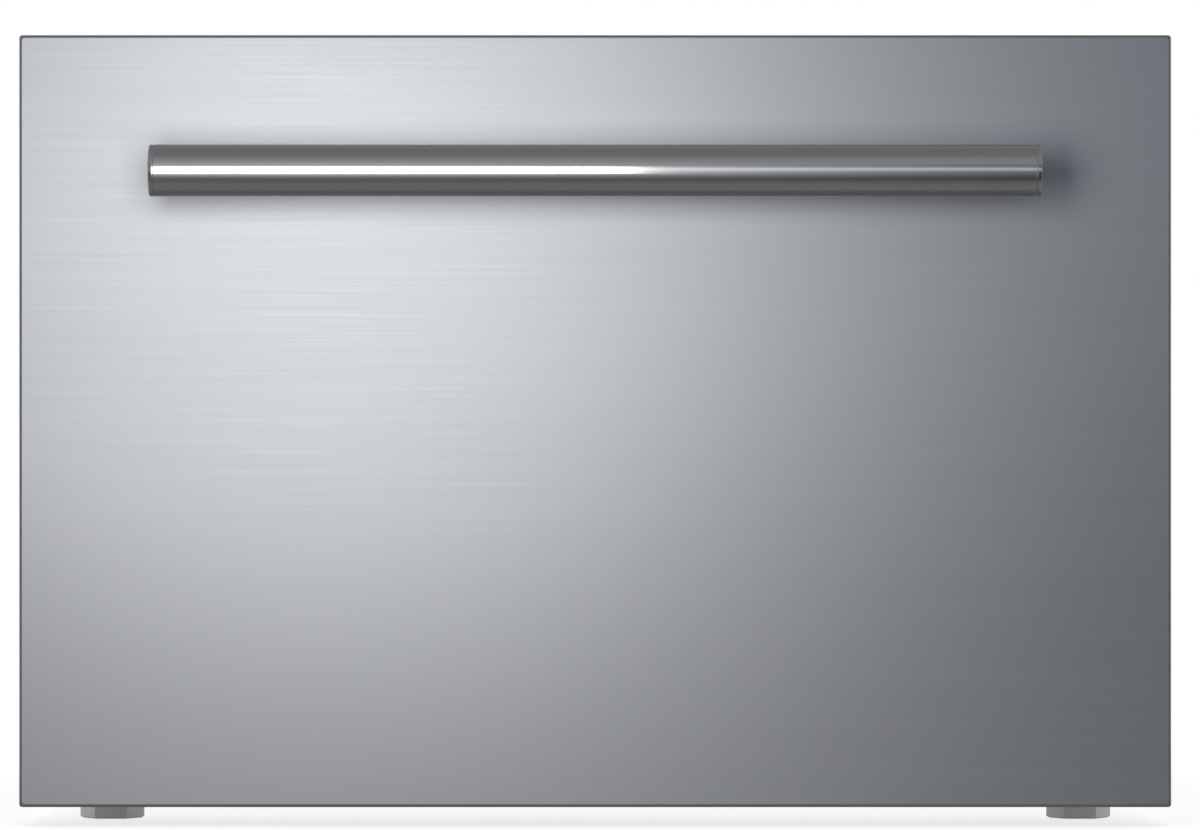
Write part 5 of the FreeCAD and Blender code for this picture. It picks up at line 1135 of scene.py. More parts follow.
@dataclass
class Screws:
    """Pan-head screws: a domed head with a cross recess, a washer face and a threaded shank."""

    node: str
    body: Body
    thread: float = 0.0011
    groove: float = 0.0003
    head: float = 0.0022

    def shank(self, thin: float, tip: float, length: float, way: float) -> Profile:
        """The shank's profile, from its tip to under the head.

        The thread is rings whose radius goes up and down by the groove's depth.

        Args:
            thin: The shank's radius.
            tip: Where the tip lies along the axis.
            length: How far the head is from the tip.
            way: 1 where the screw points down its axis, -1 where it points up.

        Returns:
            Radius and distance along the axis of each point.
        """
        turned = [(0.0003, tip), (thin * 0.6, tip + way * 0.0004)]
        for number in range(max(2, int(length / self.thread) - 1)):
            at = tip + way * (0.0006 + number * self.thread)
            turned += [(thin - self.groove, at), (thin, at + way * self.thread / 2)]
        return turned

    def cap(self, thin: float, wide: float, under: float, top: float, way: float) -> Profile:
        """The head's profile: its washer face, its dome and the recess in its middle.

        The dome's radius goes with the cosine of an angle, and its height with the sine.

        Args:
            thin: The shank's radius.
            wide: The head's radius.
            under: Where the head starts along the axis.
            top: Where it ends.
            way: 1 where the screw points down its axis, -1 where it points up.

        Returns:
            Radius and distance along the axis of each point.
        """
        rise = abs(top - under) - 0.0006
        face = [(thin - 0.0002, under), (wide - 0.0003, under), (wide, under + way * 0.0004)]
        angles = np.linspace(0.0, 1.1, 6)
        dome = [(wide * math.cos(t), under + way * (0.0006 + rise * math.sin(t))) for t in angles]
        recess = [(wide * 0.36, dome[-1][1]), (wide * 0.22, top - way * 0.0009), (POLE, top - way * 0.0012)]
        return face + dome + recess

    def screw(self, points: Array) -> Array:
        """One screw in place of a plain solid.

        Its axis is the longest side, or the shortest where none is clearly the longest. Its head
        is at the end that reaches further from the axis.

        Args:
            points: The solid's points.

        Returns:
            A grid of points, one row per ring.
        """
        low, high = points.min(axis=0), points.max(axis=0)
        size = high - low
        third = int(np.argmax(size) if size.max() > 1.02 * np.median(size) else np.argmin(size))
        centre = (low + high) / 2
        radius = np.linalg.norm(np.delete(points - centre, third, axis=1), axis=1)
        along = points[:, third] - centre[third]
        way = -1.0 if radius[along < 0].max() > radius[along > 0].max() else 1.0
        tip, top = (low[third], high[third]) if way > 0 else (high[third], low[third])
        under = top - way * min(self.head, abs(top - tip) * 0.4)
        profile = self.shank(radius.min(), tip, abs(under - tip), way)
        profile += self.cap(radius.min(), radius.max(), under, top, way)
        centre[third] = 0.0
        return turned_grid(centre, profile, list(Along)[third], 24)

    def build(self) -> None:
        """Make a screw for each solid of the node, as one piece."""
        shell = Shell()
        for points in islands(self.node):
            shell.add(self.screw(points))
        piece(f"{self.node}_turned", shell, ZINC, self.body.value, [self.node])


@dataclass
class Foot:
    """A levelling foot: a six-sided nylon base with a collar, and a threaded stud."""

    node: str
    body: Body
    base: float = 0.010
    bevel: float = 0.001
    collar: float = 0.0095
    stud: float = 0.005
    pitch: float = 0.0015
    depth: float = 0.0005

    def base_shell(self, centre: Point, radius: float) -> Shell:
        """The base, turned in six flats: a bevel below, a bevel above and a raised collar."""
        small = radius - self.bevel * 1.5
        profile = [(small, 0.0), (radius, self.bevel), (radius, self.base - self.bevel), (small, self.base)]
        shell = lathe(centre, [*profile, (radius * 0.55, self.base)], Along.Z, 6)
        collar = [
            (self.collar, self.base - 0.001),
            (self.collar, self.base + 0.001),
            (self.collar - 0.0007, self.base + 0.0018),
            (self.collar - 0.004, self.base + 0.0018),
        ]
        shell.add(turned_grid(centre, collar, Along.Z, 36))
        return shell

    def stud_shell(self, centre: Point, top: float) -> Shell:
        """The stud as a surface of height and angle.

        The radius is the stud's less the thread's depth times a triangle wave of the height over
        the pitch less the angle's share of a turn, so that the groove climbs as a helix.
        """
        height = np.linspace(self.base - 0.001, top - 0.0008, 150)[:, None]
        angle = np.linspace(0.0, 2 * math.pi, 24, endpoint=False)[None, :]
        wave = np.abs(2 * np.mod(height / self.pitch - angle / (2 * math.pi), 1.0) - 1.0)
        radius = self.stud - 0.0001 - self.depth * wave
        grid = Along.Z.place(centre[0] + radius * np.cos(angle), centre[1] + radius * np.sin(angle), height)
        cap = turned_grid(centre, [(self.stud - 0.0012, top)], Along.Z, 24)
        shell = Shell()
        shell.add(np.concatenate([grid, cap]))
        return shell

    def build(self) -> None:
        """Make the base and the stud."""
        box = Box.of(self.node)
        centre = (box.centre[0], box.centre[1], 0.0)
        base = self.base_shell(centre, box.half[:2].max())
        piece(f"{self.node}_base", base, FOOT_NYLON, self.body.value, [self.node])
        piece(f"{self.node}_stud", self.stud_shell(centre, box.high[2]), ZINC, self.body.value)


@dataclass
class PushButton:
    """A push-button: a softly dished cap with a round edge, and its flange."""

    node: str
    body: Body
    cap: float = 0.004
    edge: float = 0.0008
    dish: float = 0.0003

    def build(self) -> None:
        """Make the button from a turned profile.

        The dish falls by its depth times one less the square of the radius's share.
        """
        box = Box.of(self.node)
        front, back = box.low[1], box.high[1]
        flat = self.cap - self.edge
        profile = [(r, front + self.dish * (1 - (r / flat) ** 2)) for r in np.linspace(POLE, flat, 8)]
        profile += [(flat + x, front + self.edge - y) for x, y in arc(self.edge, 90.0, 0.0, 6)]
        flange = self.cap + self.edge
        profile += [(self.cap, back - 0.001), (flange, back - 0.001), (flange + 0.0001, back), (POLE, back)]
        shell = lathe((box.centre[0], 0.0, box.centre[2]), profile, Along.Y, 48)
        piece(f"{self.node}_cap", shell, GREY_PLASTIC, self.body.value, [self.node])


@dataclass
class CeilingLamp:
    """The lens of the ceiling lamp: a pillow of clear plastic with fine prisms."""

    box: Box = boxed("lamp_lens")
    corner: float = 0.004
    pillow: float = 0.0055

    def build(self) -> None:
        """Make the lens.

        Towards its face the rings are drawn in by the pillow times one less the sine of an angle,
        and rise by the lens's height times one less its cosine.
        """
        low, high = self.box.low[2], self.box.high[2]
        rings = [
            Ring(self.pillow * (1 - math.sin(t)), low + (high - low) * (1 - math.cos(t)), self.corner)
            for t in np.linspace(0.0, math.pi / 2, 8)
        ]
        lens = ringed(self.box, rings, Along.Z, 6)
        piece("lamp_pillow", lens, CLEAR, Body.CABINET.value, ["lamp_lens"])


@dataclass
class Fan:
    """An axial fan: a nosed hub and swept, twisted blades that thin towards their edges."""

    node: str
    body: Body
    axis: Along
    blades: int = 5
    hub_share: float = 0.31
    root_pitch: float = 52.0
    tip_pitch: float = 22.0
    sweep: float = 24.0
    thickness: float = 0.0024
    nose: float = 0.003

    def blade(self, radius: float, hub: float, deep: float) -> Array:
        """One blade about the origin, as sections from root to tip.

        A section is an ellipse as long as the chord, turned by the pitch and cambered by a
        parabola. The chord is twice the half depth over the sine of the pitch. Its place round
        the axis is the sweep times the square of the way out, plus arc length over radius.
        """
        out = np.linspace(0.0, 1.0, 12)[:, None]
        reach = hub * 0.9 + (radius - hub * 0.9) * out
        pitch = np.radians(self.root_pitch + (self.tip_pitch - self.root_pitch) * out**0.8)
        round_tip = 1.0 - 0.22 * np.clip((out - 0.8) / 0.2, 0.0, 1.0) ** 2
        chord = 0.74 * deep / np.sin(pitch) * round_tip
        turn = np.linspace(0.0, 2 * math.pi, 20, endpoint=False)[None, :]
        along = -0.5 * np.cos(turn)
        off = 0.5 * self.thickness * np.sin(turn) * (1.0 - 0.45 * out)
        rise = off + 0.06 * chord * (1.0 - 4.0 * along**2)
        tangent = chord * along * np.cos(pitch) - rise * np.sin(pitch)
        height = chord * along * np.sin(pitch) + rise * np.cos(pitch)
        angle = math.radians(self.sweep) * out**2 + tangent / reach
        return self.axis.place(reach * np.cos(angle), reach * np.sin(angle), height)

    def build(self) -> None:
        """Make the hub and its ring of blades as one piece."""
        box = Box.of(self.node)
        first, _, third = self.axis.value
        radius, half = box.half[first], box.half[third]
        hub = radius * self.hub_share
        face = hub - self.nose
        profile = [(hub - 0.002, -half), (hub, -half + 0.001)]
        profile += arc(self.nose, 0.0, 90.0, 5, (face, half - self.nose))
        profile += [(face * share, half) for share in np.linspace(1.0, 0.004, 6)[1:]]
        shell = lathe((0.0, 0.0, 0.0), profile, self.axis, 48)
        blade = self.blade(radius - 0.0005, hub, 2 * half)
        for number in range(self.blades):
            shell.add(swung(blade, (0.0, 0.0, 0.0), self.axis, 360.0 * number / self.blades))
        shell.repeat([box.centre])
        piece(f"{self.node}_blades", shell, BLACK_PLASTIC, self.body.value, [self.node], smooth=40)


@dataclass
class FanMotor:
    """A small fan motor: a ribbed can with a rear boss, on three arms."""

    node: str
    fan: str
    axis: Along
    can: float
    arm: float = 0.005
    ribs: int = 5
    groove: float = 0.0008

    def profile(self, low: float, high: float) -> Profile:
        """The can from end to end: its ribs at even steps, and the boss."""
        radius, inner = self.can / 2, self.can / 2 - self.groove
        deep = (high - low - 0.006) / self.ribs
        turned = [(POLE, low), (radius - 0.003, low), (inner, low + 0.001)]
        for number in range(self.ribs):
            start = low + 0.002 + deep * number
            turned += [(radius, start), (radius, start + deep * 0.55)]
            turned += [(inner, start + deep * 0.65), (inner, start + deep * 0.92)]
        turned += [(radius, high - 0.003), (radius - 0.002, high - 0.0006), (radius * 0.4, high - 0.0006)]
        return turned + [(radius * 0.38, high), (POLE, high)]

    def build(self) -> None:
        """Make the can and its arms."""
        box = Box.of(self.node)
        _, second, third = self.axis.value
        low, high = box.low[third], box.high[third]
        centre = Box.of(self.fan).centre
        reach = box.high[second] - centre[second]
        centre[third] = 0.0
        shell = lathe(centre, self.profile(low, high), self.axis, 48)
        start, end = (self.can * 0.35, -self.arm / 2, high - self.arm), (reach, self.arm / 2, high)
        bar = slab_grid(start, end, Along.Z, 0.001, 0.0008)
        arm = self.axis.place(bar[..., 0], bar[..., 1], bar[..., 2]) + centre
        for turn in (90.0, 210.0, 330.0):
            shell.add(swung(arm, centre, self.axis, turn))
        piece(f"{self.node}_can", shell, BLACK_PLASTIC, Body.CABINET.value, [self.node])


@dataclass
class Compressor:
    """The sealed compressor: a drawn can in two halves with a welded seam, on its pressed plate."""

    can: Box = boxed("compressor")
    grommets: Box = boxed("compressor_grommets")
    cover: Box = boxed("terminal_cover")
    radius: float = 0.056
    bend: float = 0.022
    seam: float = 0.004
    low: float = 0.036
    high: float = 0.164
    plate_half: float = 0.050
    plate_corner: float = 0.012
    grommet_radius: float = 0.011
    groove: float = 0.0018
    waist: float = 0.0064

    def shell_shape(self) -> Shell:
        """The can, turned from a profile of two domes, two bends and a weld bead.

        A bend is a quarter circle of the bend's radius. The bead is a half wave that stands out
        by the seam's reach.
        """
        middle = (self.low + self.high) / 2 + 0.002
        flat = self.radius - self.bend
        lower = [(flat + r, self.low + self.bend - z) for r, z in arc(self.bend, 90.0, 0.0, 9)]
        upper = [(flat + r, self.high - self.bend + z) for r, z in arc(self.bend, 0.0, 90.0, 9)]
        bead = [
            (self.radius + self.seam * math.sin(t), middle + self.seam * (t / math.pi * 2 - 1))
            for t in np.linspace(0.0, math.pi, 9)
        ]
        top = [(flat * 0.7, self.high - 0.0003), (flat * 0.66, self.high - 0.0003), (flat * 0.62, self.high)]
        profile = [(POLE, self.low), *lower, *bead, *upper, *top, (POLE, self.high)]
        shell = lathe((self.can.centre[0], self.can.centre[1], 0.0), profile, Along.Z, 72)
        return self.with_plate(shell)

    def with_plate(self, shell: Shell) -> Shell:
        """Add the plate: a skirt, a flat rim and a pressed, raised middle."""
        base = self.grommets.low[2] + 0.012
        corner = self.plate_corner
        rings = [
            Ring(0.0008, base, corner),
            Ring(0.0, base + 0.0008, corner),
            Ring(0.0, base + 0.0030, corner),
            Ring(0.0015, base + 0.0045, corner),
            Ring(0.0240, base + 0.0045, corner),
            Ring(0.0280, base + 0.0100, corner + 0.002),
            Ring(0.0310, base + 0.0118, corner + 0.002),
        ]
        half = (self.can.half[0], self.plate_half)
        shell.add(ring_grid(self.can.centre[:2], half, rings, Along.Z, 6))
        return shell

    def feet_shape(self) -> Shell:
        """Four grommets, each a rubber spool with two grooves."""
        base, height = self.grommets.low[2], 2 * self.grommets.half[2]
        wide, narrow = self.grommet_radius, self.grommet_radius - self.groove
        spool = [
            (POLE, 0.0),
            (wide - 0.001, 0.0),
            (wide, 0.001),
            (wide, 0.003),
            (narrow, 0.004),
            (narrow, 0.006),
            (wide, 0.007),
            (wide, 0.011),
            (wide - 0.001, 0.0119),
            (self.waist, 0.0119),
            (self.waist, height - 0.0006),
            (self.waist - 0.0006, height),
            (POLE, height),
        ]
        shell = lathe((0.0, 0.0, base), spool, Along.Z, 32)
        spread = self.grommets.half - self.grommet_radius
        centre = self.grommets.centre
        signs = [(a, b) for a in (-1, 1) for b in (-1, 1)]
        shell.repeat([(centre[0] + a * spread[0], centre[1] + b * spread[1], 0.0) for a, b in signs])
        return shell

    def cover_shape(self) -> Shell:
        """The terminal cover: a round-cornered box with three ribs across it."""
        low, high = self.cover.low, self.cover.high
        start = (self.can.centre[0] + self.radius + 0.0012, low[1], low[2])
        shell = Shell()
        shell.add(slab_grid(start, (high[0] - 0.0015, high[1], high[2]), Along.X, 0.005, 0.0015))
        for share in (0.3, 0.5, 0.7):
            level = low[2] + (high[2] - low[2]) * share
            start = (high[0] - 0.004, low[1] + 0.006, level - 0.001)
            end = (high[0], high[1] - 0.006, level + 0.001)
            shell.add(slab_grid(start, end, Along.X, 0.0008, 0.0005))
        return shell

    def build(self) -> None:
        """Make the can on its plate, the grommets and the terminal cover."""
        body = Body.CABINET.value
        piece("compressor_can", self.shell_shape(), BLACK_COAT, body, ["compressor"], smooth=40)
        piece("compressor_feet", self.feet_shape(), BLACK_RUBBER, body, ["compressor_grommets"])
        piece("terminal_box", self.cover_shape(), BLACK_PLASTIC, body, ["terminal_cover"])


@dataclass
class Coil:
    """Fins across a tube that runs back and forth, with round turns at its ends."""

    node: str
    finish: Finish
    axis: Along
    fins: int
    runs: Sequence[float]
    lead: float
    sheet: float = 0.0006
    tube: float = 0.0034
    turn: float = 0.009

    def fin_shell(self, box: Box) -> Shell:
        """The fins: thin blocks with round corners, at even steps."""
        third = self.axis.value[2]
        first, last = box.low.copy(), box.high.copy()
        first[third] += self.lead
        last[third] = first[third] + self.sheet
        shell = Shell()
        shell.add(slab_grid(first, last, self.axis, 0.004, self.sheet * 0.2, 3))
        offsets = np.zeros((self.fins, 3))
        offsets[:, third] = np.linspace(0.0, 2 * (box.half[third] - self.lead) - self.sheet, self.fins)
        shell.repeat(offsets)
        return shell

    def path(self, box: Box) -> list[Array]:
        """Corners of the tube: in one plane, two on each run at its share of the height."""
        third = self.axis.value[2]
        ends = (box.low[third] + self.tube, box.high[third] - self.tube)
        corners = []
        for number, share in enumerate(self.runs):
            for side in ends if number % 2 == 0 else ends[::-1]:
                corner = box.centre
                corner[2] = box.low[2] + 2 * box.half[2] * share
                corner[third] = side
                corners.append(corner)
        return corners

    def build(self) -> None:
        """Make the fins and the tube as one piece."""
        box = Box.of(self.node)
        shell = self.fin_shell(box)
        shell.add(tube_grid(rounded_path(self.path(box), self.turn), self.tube, 16))
        piece(f"{self.node}_fins", shell, self.finish, Body.CABINET.value, [self.node])


@dataclass
class Pipework:
    """The copper tubes of the sealed circuit, the filter drier and the drain."""

    tubes: Box = boxed("refrigerant_tubes")
    drier: Box = boxed("filter_drier")
    drain: Box = boxed("drain_tube")
    tray: Box = boxed("drip_tray")
    condenser: Box = boxed("condenser")
    compressor: Box = boxed("compressor")
    radius: float = 0.0035
    bend: float = 0.016
    tight_bend: float = 0.010
    bore: float = 0.0050
    sleeve: float = 0.0070

    def tube_shell(self) -> Shell:
        """Four tubes, each carried along a path with smooth turns."""
        _, deep, level = self.drier.centre
        near, far = self.drier.low[0], self.drier.high[0]
        top, can, coil = self.tubes.high[2], self.compressor.centre[0], self.condenser.centre[0]
        front, low = self.tubes.low[1] + self.radius, self.tubes.low[2] + self.radius
        start, end = self.condenser.low[1] + 0.006, self.condenser.high[2] - 0.001
        suction = [(-0.060, deep, top), (-0.060, deep, 0.130), (can + 0.055, deep, 0.130)]
        capillary = [(-0.046, deep, top), (-0.046, deep, level), (near + 0.001, deep, level)]
        liquid = [(far - 0.001, deep, level), (coil, deep, level), (coil, deep, end)]
        hot_gas = [(can, 0.181, low), (can, front, low), (coil, front, low), (coil, start, low)]
        shell = Shell()
        for corners in (suction, capillary, liquid):
            shell.add(tube_grid(rounded_path(corners, self.bend), self.radius, 18))
        shell.add(tube_grid(rounded_path(hot_gas, self.tight_bend), self.radius, 18))
        return shell

    def drier_shell(self) -> Shell:
        """The drier: a copper can whose ends are spun down to the tube on half a cosine wave."""
        wide, half = self.drier.half[2], self.drier.half[0]
        neck = self.radius + 0.0012
        share = np.linspace(0.0, 1.0, 9)
        swell = [(neck + (wide - neck) * 0.5 * (1 - math.cos(math.pi * s)), 0.014 * s - half) for s in share]
        left = [*swell, (wide, -0.012), (wide - 0.0009, -0.0105), (wide, -0.009)]
        right = [(radius, -along) for radius, along in reversed(left)]
        return lathe(self.drier.centre, left + right, Along.X, 40)

    def drain_shell(self) -> Shell:
        """The drain: a collar, a tapered sleeve and a wall 2 mm thick."""
        low, high = self.drain.low[2], self.drain.high[2]
        wide = self.drain.half[0]
        profile = [
            (self.bore, low),
            (self.sleeve - 0.0002, low),
            (self.sleeve, low + 0.001),
            (self.sleeve, high - 0.003),
            (wide, high - 0.002),
            (wide, high - 0.0004),
            (wide - 0.0006, high),
            (self.bore + 0.0006, high),
            (self.bore, high - 0.001),
        ]
        shell = Shell()
        centre = (self.drain.centre[0], self.drain.centre[1], 0.0)
        shell.add(turned_grid(centre, profile, Along.Z, 32), closed=True)
        return shell

    def tray_shell(self) -> Shell:
        """The open tray: a rolled rim, leaning walls and a floor with a round corner."""
        low, high = self.tray.low[2], self.tray.high[2]
        rings = [
            Ring(0.0050, low, 0.008),
            Ring(0.0034, low + 0.0006, 0.008),
            Ring(0.0026, low + 0.0024, 0.009),
            Ring(0.0014, high - 0.0026, 0.010),
            Ring(0.0000, high - 0.0020, 0.010),
            Ring(0.0000, high - 0.0005, 0.010),
            Ring(0.0006, high, 0.010),
            Ring(0.0026, high, 0.009),
            Ring(0.0032, high - 0.0006, 0.009),
            Ring(0.0046, low + 0.0046, 0.008),
            Ring(0.0056, low + 0.0026, 0.007),
            Ring(0.0072, low + 0.0020, 0.007),
        ]
        return ringed(self.tray, rings, Along.Z, 8)

    def build(self) -> None:
        """Make the tubes, the drier, the drain and the tray."""
        body = Body.CABINET.value
        piece("copper_tubes", self.tube_shell(), COPPER, body, ["refrigerant_tubes"])
        piece("drier_can", self.drier_shell(), COPPER, body, ["filter_drier"])
        piece("drain_sleeve", self.drain_shell(), GREY_PLASTIC, body, ["drain_tube"])
        piece("melt_water_tray", self.tray_shell(), BLACK_PLASTIC, body, ["drip_tray"])


@dataclass
class Shroud:
    """The fan's square plate, drawn into a bell mouth and a short tunnel."""

    box: Box = boxed("fan_shroud")
    sheet: float = 0.002
    opening: float = 0.059
    corner: float = 0.008

    def plate_grid(self, centre: Sequence[float], half: float) -> Array:
        """Rings that go from a rounded square to a circle and back.

        The circle's points lie at the same angles as the square's, so each row joins the next.

        Args:
            centre: The square's middle across and up.
            half: Half its width.

        Returns:
            A grid of points, one row per ring.
        """
        back, face = self.box.low[0], self.box.high[0]
        size = np.array([half])
        across, up = (values[0] for values in rounded_loop(size, size, np.array([self.corner]), 16))
        turn = np.arctan2(up, across)
        mouth, outer = self.opening, self.opening + self.sheet
        circles = [
            (mouth + 0.005, face),
            (mouth + 0.002, face - 0.0008),
            (mouth, face - 0.003),
            (mouth, back),
            (outer, back),
            (outer, face - 0.005),
            (outer + 0.004, face - self.sheet),
        ]
        rows = [(across, up, face)]
        rows += [(radius * np.cos(turn), radius * np.sin(turn), along) for radius, along in circles]
        rows += [(across, up, face - self.sheet)]
        return np.stack([Along.X.place(centre[0] + a, centre[1] + u, np.array(x)) for a, u, x in rows])

    def build(self) -> None:
        """Make the plate and the foot that it stands on."""
        half, face = self.box.half[1], self.box.high[0]
        centre = (self.box.centre[1], self.box.high[2] - half)
        shell = Shell()
        shell.add(self.plate_grid(centre, half), closed=True)
        low = (face - self.sheet, centre[0] - half, self.box.low[2])
        high = (face, centre[0] + half, centre[1] - half + self.corner)
        shell.add(slab_grid(low, high, Along.X, 0.002, 0.0003))
        piece("fan_shroud_plate", shell, BLACK_PLASTIC, Body.CABINET.value, ["fan_shroud"])


@dataclass
class Carried:
    """The CAD nodes that keep their own shape, each with its finish."""

    finishes: dict[Finish, tuple[str, ...]] = field(default_factory=lambda: {
        FOAM: ("front_foam", "cabinet_foam"),
        MAGNET: ("door_magnet",),
        GREY_COAT: ("outer_wrapper",),
        FRAME_STEEL: ("front_frame",),
        WHITE_PLASTIC: ("inner_liner", "evaporator_cover"),
        ZINC: (
            "front_plates",
            "side_bracket_left",
            "side_bracket_right",
            "slide_inner_left",
            "slide_inner_right",
            "slide_middle_left",
            "slide_middle_right",
            "slide_outer_left",
            "slide_outer_right",
            "rear_panel",
            "base_pan",
            "engine_bulkhead",
            "mounting_brackets",
        ),
        BLACK_PLASTIC: ("power_inlet", "door_sensor"),
        GREY_PLASTIC: ("control_housing",),
        CLEAR: ("control_window",),
        BOARD: ("control_board",),
    })

    def build(self) -> None:
        """Dress each of the nodes."""
        for finish, nodes in self.finishes.items():
            for node in nodes:
                dress(node, finish)


@dataclass(frozen=True)
class Softbox:
    """A rectangular area light that the camera doesn't see."""

    name: str
    spot: Point
    aim: Point
    size: Pair
    power: float
    colour: Colour = (1.0, 1.0, 1.0)
    mirrored: bool = True

    def hang(self) -> None:
        """Make the light at its spot, turned to its aim."""
        light = bpy.data.lights.new(self.name, "AREA")
        light.shape = "RECTANGLE"
        light.size, light.size_y = self.size
        light.energy = self.power
        light.color = self.colour
        lamp = bpy.data.objects.new(self.name, light)
        bpy.context.scene.collection.objects.link(lamp)
        lamp.location = self.spot
        way = Vector(self.aim) - Vector(self.spot)
        lamp.rotation_euler = way.to_track_quat("-Z", "Y").to_euler()
        lamp.visible_camera = False
        lamp.visible_glossy = self.mirrored


@dataclass(frozen=True)
class Studio:
    """A pale floor, a soft studio and a camera that looks straight at the drawer front."""

    distance: float = 4.2
    sensor: float = 36.0
    aim: Point = (0.0025, 0.0, 0.2142)
    view_width: float = 0.6247
    floor_reach: float = 3.0
    floor_drop: float = 0.0004
    glow: float = 1.35
    glow_share: float = 0.55
    floor_far: Step = Step(-0.80, -0.42, 0.01, 0.16)
    floor_near: Step = Step(-0.24, -0.12, 0.0, 0.84)
    room: float = 0.24
    gloom: float = 0.06
    ceiling: float = 0.16
    ambient: float = 0.62
    key: Softbox = Softbox(
        "key",
        spot=(-0.179, -1.073, 0.338),
        aim=(-0.179, 0.0, 0.338),
        size=(0.404, 0.42),
        power=2.12,
        colour=(1.0, 0.974, 0.93),
    )
    strip: Softbox = Softbox(
        "strip",
        spot=(0.38, -1.5, 0.435),
        aim=(0.38, 0.0, 0.37),
        size=(2.3, 0.26),
        power=0.94,
        colour=(0.86, 0.96, 1.14),
    )
    top: Softbox = Softbox(
        "top",
        spot=(0.0, 0.1, 1.9),
        aim=(0.0, 0.0, 0.2),
        size=(1.2, 1.2),
        power=9.0,
        mirrored=False,
    )

    def floor(self) -> None:
        """A pale floor that keeps the object's soft shadow.

        The camera sees it as one part of white glow and one part of lit, nearly white paint.
        Glossy rays see a glow alone: white from under the drawer's front to the back, and dimmer
        the further it lies in front.
        """
        across = np.linspace(-self.floor_reach, self.floor_reach, 13)
        grid = Along.Z.place(across[None, :], across[:, None], np.array(-self.floor_drop))
        shell = Shell()
        shell.add(grid, around=False)
        ground = bpy.data.objects.new("studio_floor", shell.mesh("studio_floor", 30))
        bpy.context.scene.collection.objects.link(ground)
        sheet = Sheet("studio_floor")
        mottle = sheet.noise(sheet.spot, 6.0)
        sheet.surface(Base_Color=sheet.tint(mottle, (0.90, 0.90, 0.90), (0.93, 0.93, 0.93)), Roughness=1.0)
        sheet.surface(Specular_IOR_Level=0.0)
        rays = sheet.node("ShaderNodeLightPath").outputs
        depth = sheet.node("ShaderNodeSeparateXYZ", {"Vector": sheet.spot}).outputs["Y"]
        dimmed = sheet.maths("ADD", sheet.step(depth, self.floor_far), sheet.step(depth, self.floor_near))
        seen = sheet.maths("MAXIMUM", rays["Is Camera Ray"], rays["Is Transmission Ray"])
        mirrored = sheet.maths("MULTIPLY", rays["Is Glossy Ray"], dimmed)
        shown = sheet.maths("MULTIPLY", seen, self.glow)
        glow = sheet.node("ShaderNodeEmission", {"Strength": sheet.maths("ADD", shown, mirrored)})
        share = sheet.maths("ADD", sheet.maths("MULTIPLY", seen, self.glow_share), rays["Is Glossy Ray"])
        both = sheet.node("ShaderNodeMixShader", {0: share, 1: sheet.shader.outputs[0], 2: glow.outputs[0]})
        sheet.join(both.outputs[0], sheet.tree.nodes["Material Output"].inputs["Surface"])
        sheet.owner.cycles.emission_sampling = "NONE"
        ground.data.materials.append(sheet.owner)

    def backdrop(self) -> None:
        """A world that is white behind the object and a plain room in front of it.

        Camera and transmission rays see white. Glossy rays see white towards the back, pale walls
        to the sides and above, and the dark place of the camera straight in front. Each share is a
        smooth step of one part of the ray's direction.
        """
        world = bpy.data.worlds.new("studio_world")
        bpy.context.scene.world = world
        world.use_nodes = True
        world.cycles.sampling_method = "NONE"
        sheet = Sheet.over(world)
        way = sheet.node("ShaderNodeTexCoord").outputs["Generated"]
        parts = sheet.node("ShaderNodeSeparateXYZ", {"Vector": way}).outputs
        across, depth, up = (parts[axis] for axis in "XYZ")
        behind = sheet.step(depth, Step(0.0, 0.3, 0.0, 1.0))
        back = sheet.maths("MULTIPLY", behind, sheet.step(up, Step(0.55, 0.8, 1.0, 0.0)))
        sides = sheet.step(sheet.maths("ABSOLUTE", across, 0.0), Step(0.55, 0.8, self.gloom, self.room))
        raised = sheet.step(up, Step(0.36, 0.50, 0.0, 1.0))
        above = sheet.maths("MULTIPLY", raised, sheet.step(up, Step(0.75, 0.97, self.room, self.ceiling)))
        glossy = sheet.maths("MAXIMUM", sheet.maths("MAXIMUM", sides, above), back)
        rays = sheet.node("ShaderNodeLightPath").outputs
        white = sheet.maths("MAXIMUM", rays["Is Camera Ray"], rays["Is Transmission Ray"])
        mirrored = sheet.maths("MULTIPLY", rays["Is Glossy Ray"], glossy)
        spread = sheet.maths("MULTIPLY", rays["Is Diffuse Ray"], self.ambient)
        strength = sheet.maths("ADD", sheet.maths("ADD", white, mirrored), spread)
        ground = sheet.node("ShaderNodeBackground", {"Color": (1.0, 1.0, 1.0, 1.0), "Strength": strength})
        sheet.join(ground.outputs[0], sheet.node("ShaderNodeOutputWorld").inputs["Surface"])

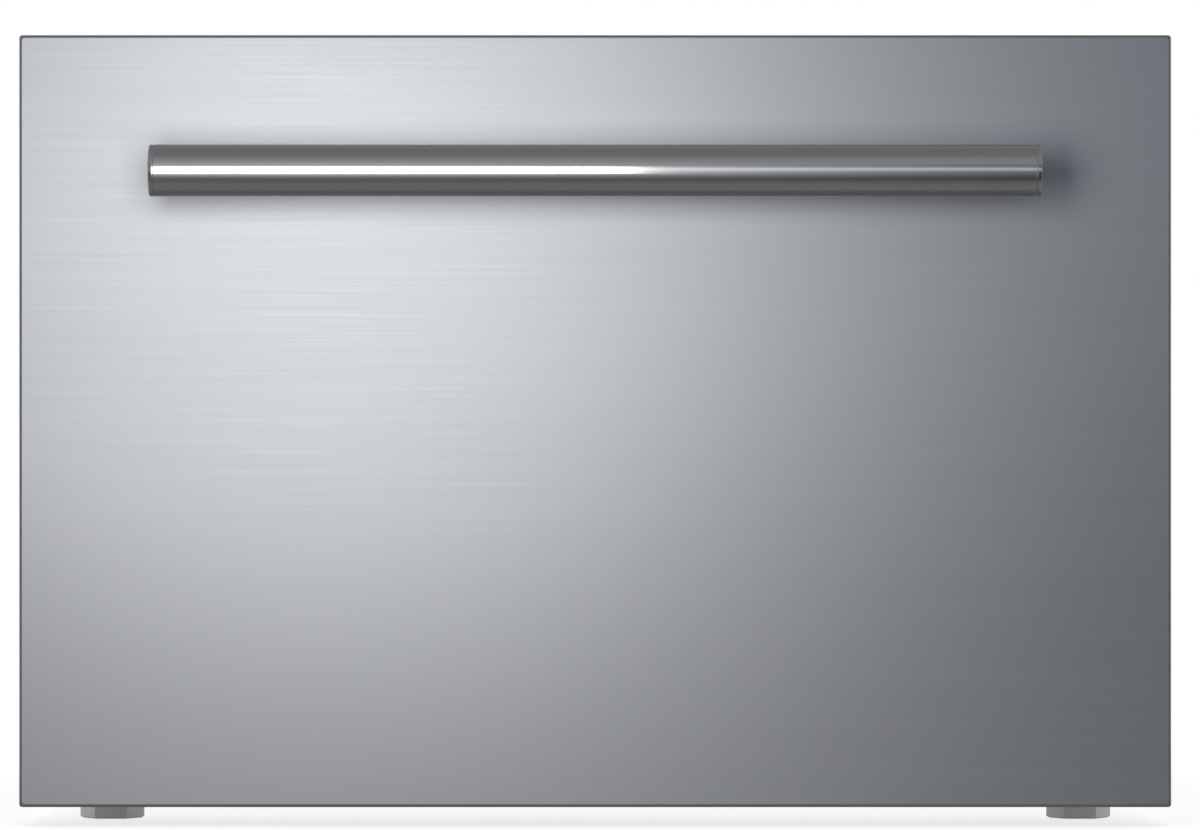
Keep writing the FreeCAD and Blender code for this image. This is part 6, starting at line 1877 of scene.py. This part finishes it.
    def camera(self) -> None:
        """A long lens, level with the drawer front, framed as the photograph is."""
        lens = bpy.data.cameras.new("camera")
        lens.sensor_width = self.sensor
        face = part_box("front_skin")[0].y
        lens.lens = self.sensor * self.distance / self.view_width
        view = bpy.data.objects.new("camera", lens)
        bpy.context.scene.collection.objects.link(view)
        view.location = (self.aim[0], face - self.distance, self.aim[2])
        view.rotation_euler = (math.pi / 2, 0.0, 0.0)
        bpy.context.scene.camera = view

    def build(self) -> None:
        """Set the stage, the lights and the camera."""
        self.floor()
        self.backdrop()
        self.camera()
        for lamp in (self.key, self.strip, self.top):
            lamp.hang()
        bpy.context.scene.view_settings.view_transform = "Standard"


class SubAssembly(Protocol):
    """A group of pieces that builds itself."""

    def build(self) -> None:
        """Make the pieces and dress them."""


def sub_assemblies() -> list[SubAssembly]:
    """Every sub-assembly, in the order in which it is built."""
    cages = [BallCage(body.value, body) for body in Body if body.value.startswith("cage_")]
    feet = [Foot(body.value, body) for body in Body if body.value.startswith("foot_")]
    buttons = [PushButton(body.value, body) for body in Body if body.value.startswith("button_")]
    fans = [
        Fan("condenser_fan", Body.CONDENSER_FAN, Along.X),
        FanMotor("condenser_fan_motor", "condenser_fan", Along.X, 0.044),
        Fan("evaporator_fan", Body.COOLING_FAN, Along.Y, hub_share=0.335),
        FanMotor("evaporator_fan_motor", "evaporator_fan", Along.Y, 0.036),
    ]
    coils = [
        Coil("condenser", BLACK_COAT, Along.Y, 20, (0.2, 0.4, 0.6, 0.8), 0.007),
        Coil("evaporator", FIN_METAL, Along.X, 24, (0.25, 0.5, 0.75), 0.014),
    ]
    screws = [Screws("drawer_screws", Body.DRAWER), Screws("slide_screws", Body.CABINET)]
    drawer = [DrawerFront(), Handle(), Bin(), *cages, *screws]
    machine = [*fans, Shroud(), *coils, Compressor(), Pipework()]
    return [*drawer, *feet, *buttons, CeilingLamp(), *machine, Carried()]


def main() -> None:
    """Build the drawer, the slides, the cabinet and the cooling unit, then the studio."""
    logging.basicConfig(level=logging.INFO, format="%(name)s: %(message)s")
    for part in sub_assemblies():
        log.info("building %s", type(part).__name__)
        part.build()
    Studio().build()


if __name__ == "__main__":
    main()
